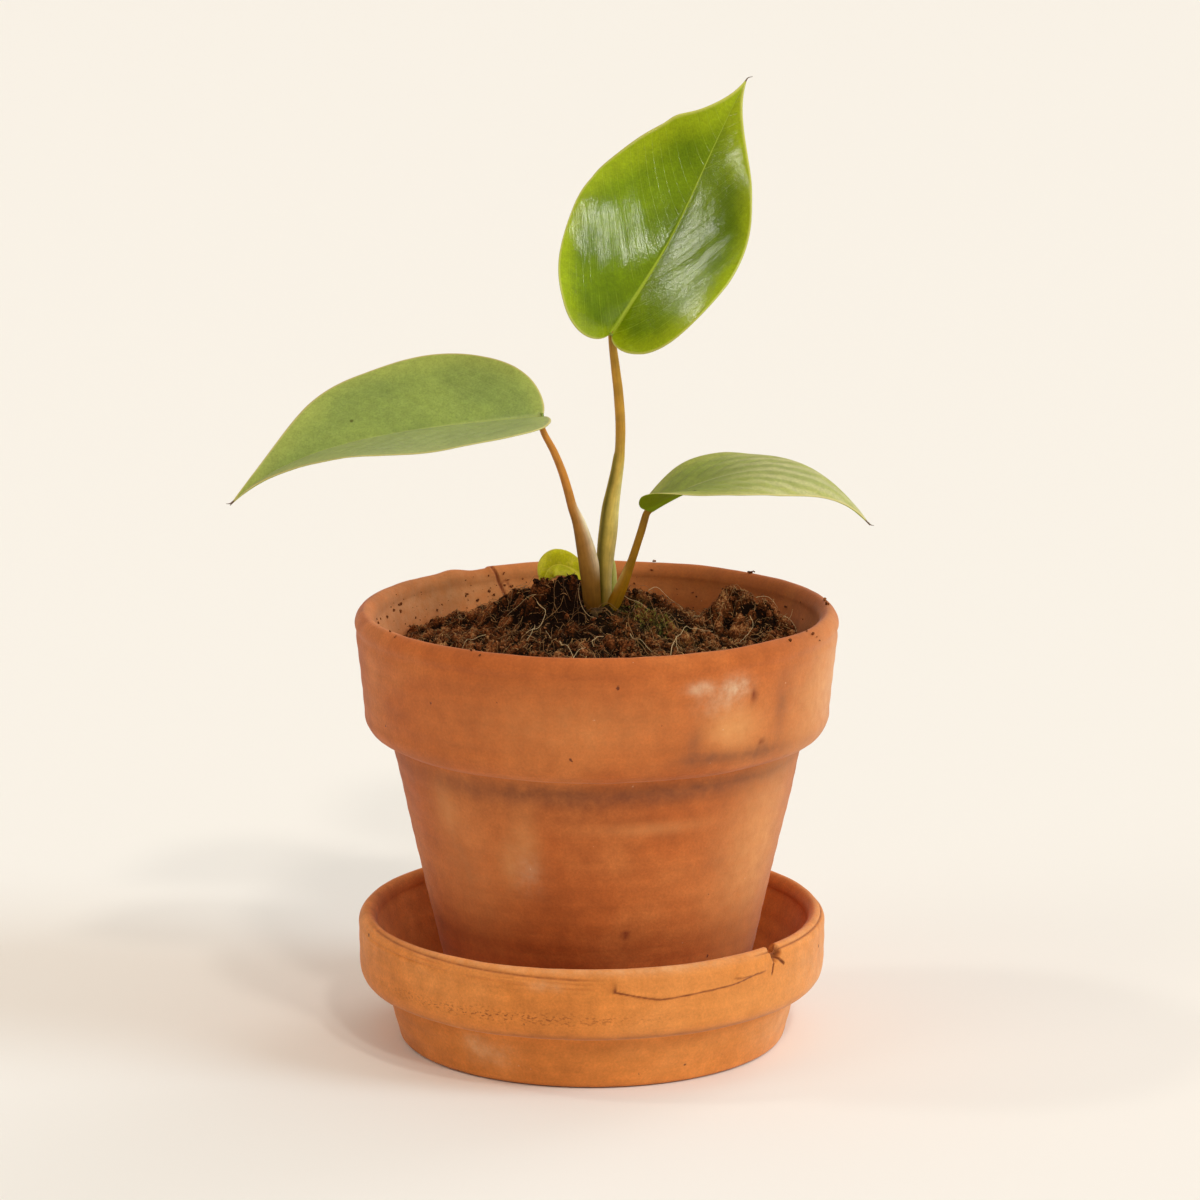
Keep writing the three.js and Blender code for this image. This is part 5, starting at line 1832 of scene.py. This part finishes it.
def make_pottery() -> list[TurnedClay]:
    """The saucer and the pot with the marks that the photograph shows on them, some of which are painted
    light and painted shade.
    """
    saucer = Saucer(
        "saucer_clay", "saucer", "terracotta_saucer", SAUCER_CLAY, columns=410, centre_x=-1.4,
        fine_at=((-40.0, 7.0, 5.0), (-66.0, 28.0, 0.8)), seed=3,
        patches=(
            Patch(Mask.BLOOM, -124.0, 9.5, 3.2, 4.0, 0.5), Patch(Mask.BLOOM, -101.0, 31.0, 5.0, 1.5, 0.35),
            Patch(Mask.OCHRE_AND_PAINTED_LIGHT, -50.0, 20.0, 45.0, 20.0, 0.3), Patch(Mask.STAIN_AND_PAINTED_SHADE, -105.0, 16.2, 60.0, 0.9, 0.35),
            Patch(Mask.STAIN_AND_PAINTED_SHADE, -55.0, 16.2, 40.0, 0.9, 0.3), Patch(Mask.COARSE, -112.0, 21.8, 36.0, 1.5, 0.9),
            # Painted light: the bloom at -10 and -20 degrees makes the saucer's lit right side paler. The
            # bloom at -80 degrees makes the lip's crest paler along the front.
            Patch(Mask.BLOOM, -80.0, 35.2, 70.0, 1.4, 0.4), Patch(Mask.BLOOM, -10.0, 24.0, 22.0, 12.0, 0.3),
            Patch(Mask.BLOOM, -20.0, 8.0, 14.0, 6.0, 0.2), Patch(Mask.BLOOM, -117.0, 8.0, 5.0, 4.0, 0.35),
        ),
    )
    pot = Pot(
        "pot_clay", "pot", "terracotta_pot", POT_CLAY, columns=350, fine_at=((118.0, 5.0, 3.0),), seed=7,
        patches=(
            Patch(Mask.BLOOM, -65.5, 109.5, 3.4, 1.6, 0.9), Patch(Mask.BLOOM, -56.0, 108.6, 4.2, 2.6, 1.0),
            Patch(Mask.BLOOM, -60.0, 105.0, 6.0, 3.4, 0.35), Patch(Mask.OCHRE_AND_PAINTED_LIGHT, -56.0, 97.5, 8.0, 6.0, 0.9),
            Patch(Mask.STAIN_AND_PAINTED_SHADE, -67.0, 94.0, 2.6, 6.0, 0.5), Patch(Mask.STAIN_AND_PAINTED_SHADE, -62.0, 90.5, 6.0, 1.8, 0.5),
            Patch(Mask.STAIN_AND_PAINTED_SHADE, -41.0, 100.0, 2.6, 8.0, 0.5), Patch(Mask.STAIN_AND_PAINTED_SHADE, -47.0, 90.0, 5.0, 2.4, 0.45),
            # The stains at 79.5 mm and 81 mm and the scar at 76 mm are partly a grey-brown smear and partly
            # painted shade under the band.
            Patch(Mask.STAIN_AND_PAINTED_SHADE, -52.0, 89.5, 22.0, 2.2, 0.45), Patch(Mask.STAIN_AND_PAINTED_SHADE, -95.0, 79.5, 55.0, 3.0, 0.7),
            Patch(Mask.STAIN_AND_PAINTED_SHADE, -40.0, 81.0, 35.0, 1.6, 0.4), Patch(Mask.OCHRE_AND_PAINTED_LIGHT, -111.0, 66.0, 4.0, 9.0, 0.6),
            Patch(Mask.OCHRE_AND_PAINTED_LIGHT, -97.0, 100.0, 34.0, 11.0, 0.35), Patch(Mask.SCAR_AND_PAINTED_SHADE, -95.0, 76.0, 50.0, 6.0, 0.3),
            # The scar at 34 mm is painted shade where the saucer's rim shades the pot's foot.
            Patch(Mask.SCAR_AND_PAINTED_SHADE, -100.0, 34.0, 60.0, 9.0, 0.35),
            # Painted light: the ochre at -16 and -30 degrees and the bloom at -6 degrees make the lit right
            # side paler.
            Patch(Mask.OCHRE_AND_PAINTED_LIGHT, -16.0, 102.0, 22.0, 16.0, 0.85),
            Patch(Mask.OCHRE_AND_PAINTED_LIGHT, -30.0, 60.0, 18.0, 30.0, 0.85),
            Patch(Mask.BLOOM, -6.0, 100.0, 14.0, 14.0, 0.35),
            # Inside, the bloom at 150 and ochre at 130 degrees are painted light on the lit left wall, and
            # the stain at 25 degrees is painted shade over damp on the right wall.
            Patch(Mask.BLOOM, 150.0, 112.0, 34.0, 6.0, 0.2, True),
            Patch(Mask.OCHRE_AND_PAINTED_LIGHT, 130.0, 113.0, 80.0, 8.0, 0.5, True),
            Patch(Mask.STAIN_AND_PAINTED_SHADE, 25.0, 110.0, 34.0, 9.0, 0.3, True),
            Patch(Mask.OCHRE_AND_PAINTED_LIGHT, -134.0, 56.0, 14.0, 28.0, 0.3),
            Patch(Mask.OCHRE_AND_PAINTED_LIGHT, -117.0, 59.0, 3.0, 7.0, 0.45), Patch(Mask.OCHRE_AND_PAINTED_LIGHT, -139.0, 72.0, 4.0, 7.0, 0.45),
            Patch(Mask.OCHRE_AND_PAINTED_LIGHT, -74.0, 70.0, 14.0, 1.8, 0.5), Patch(Mask.SCAR_AND_PAINTED_SHADE, -50.4, 105.5, 0.7, 1.8, 1.6),
            Patch(Mask.SCAR_AND_PAINTED_SHADE, -80.5, 40.0, 0.9, 1.0, 1.6), Patch(Mask.SCAR_AND_PAINTED_SHADE, -47.0, 92.5, 0.7, 0.7, 1.5),
            # The wide stain at 20 mm is painted shade on the foot inside the saucer.
            Patch(Mask.BLOOM, -111.0, 57.0, 3.5, 5.0, 0.3), Patch(Mask.STAIN_AND_PAINTED_SHADE, -110.0, 20.0, 60.0, 9.0, 0.25),
            Patch(Mask.SCAR_AND_PAINTED_SHADE, -92.0, 60.0, 22.0, 18.0, 0.2),
        ),
    )
    return [saucer, pot]


def main() -> None:
    """Builds the studio and the plant, piece by piece."""
    logging.basicConfig(level=logging.INFO, format="%(name)s: %(message)s")
    Studio().build()
    for pottery in make_pottery():
        pottery.build()
    SoilBed().build()
    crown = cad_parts["crown_and_roots"]
    crown.data.materials.clear()
    crown.data.materials.append(RootBark("corky_root_bark").material())
    LOG.info("crown_and_roots: its bark")
    for stalk in make_stalks():
        stalk.build()
    for blade in make_blades():
        blade.build()
    make_tips()


if __name__ == "__main__":
    main()
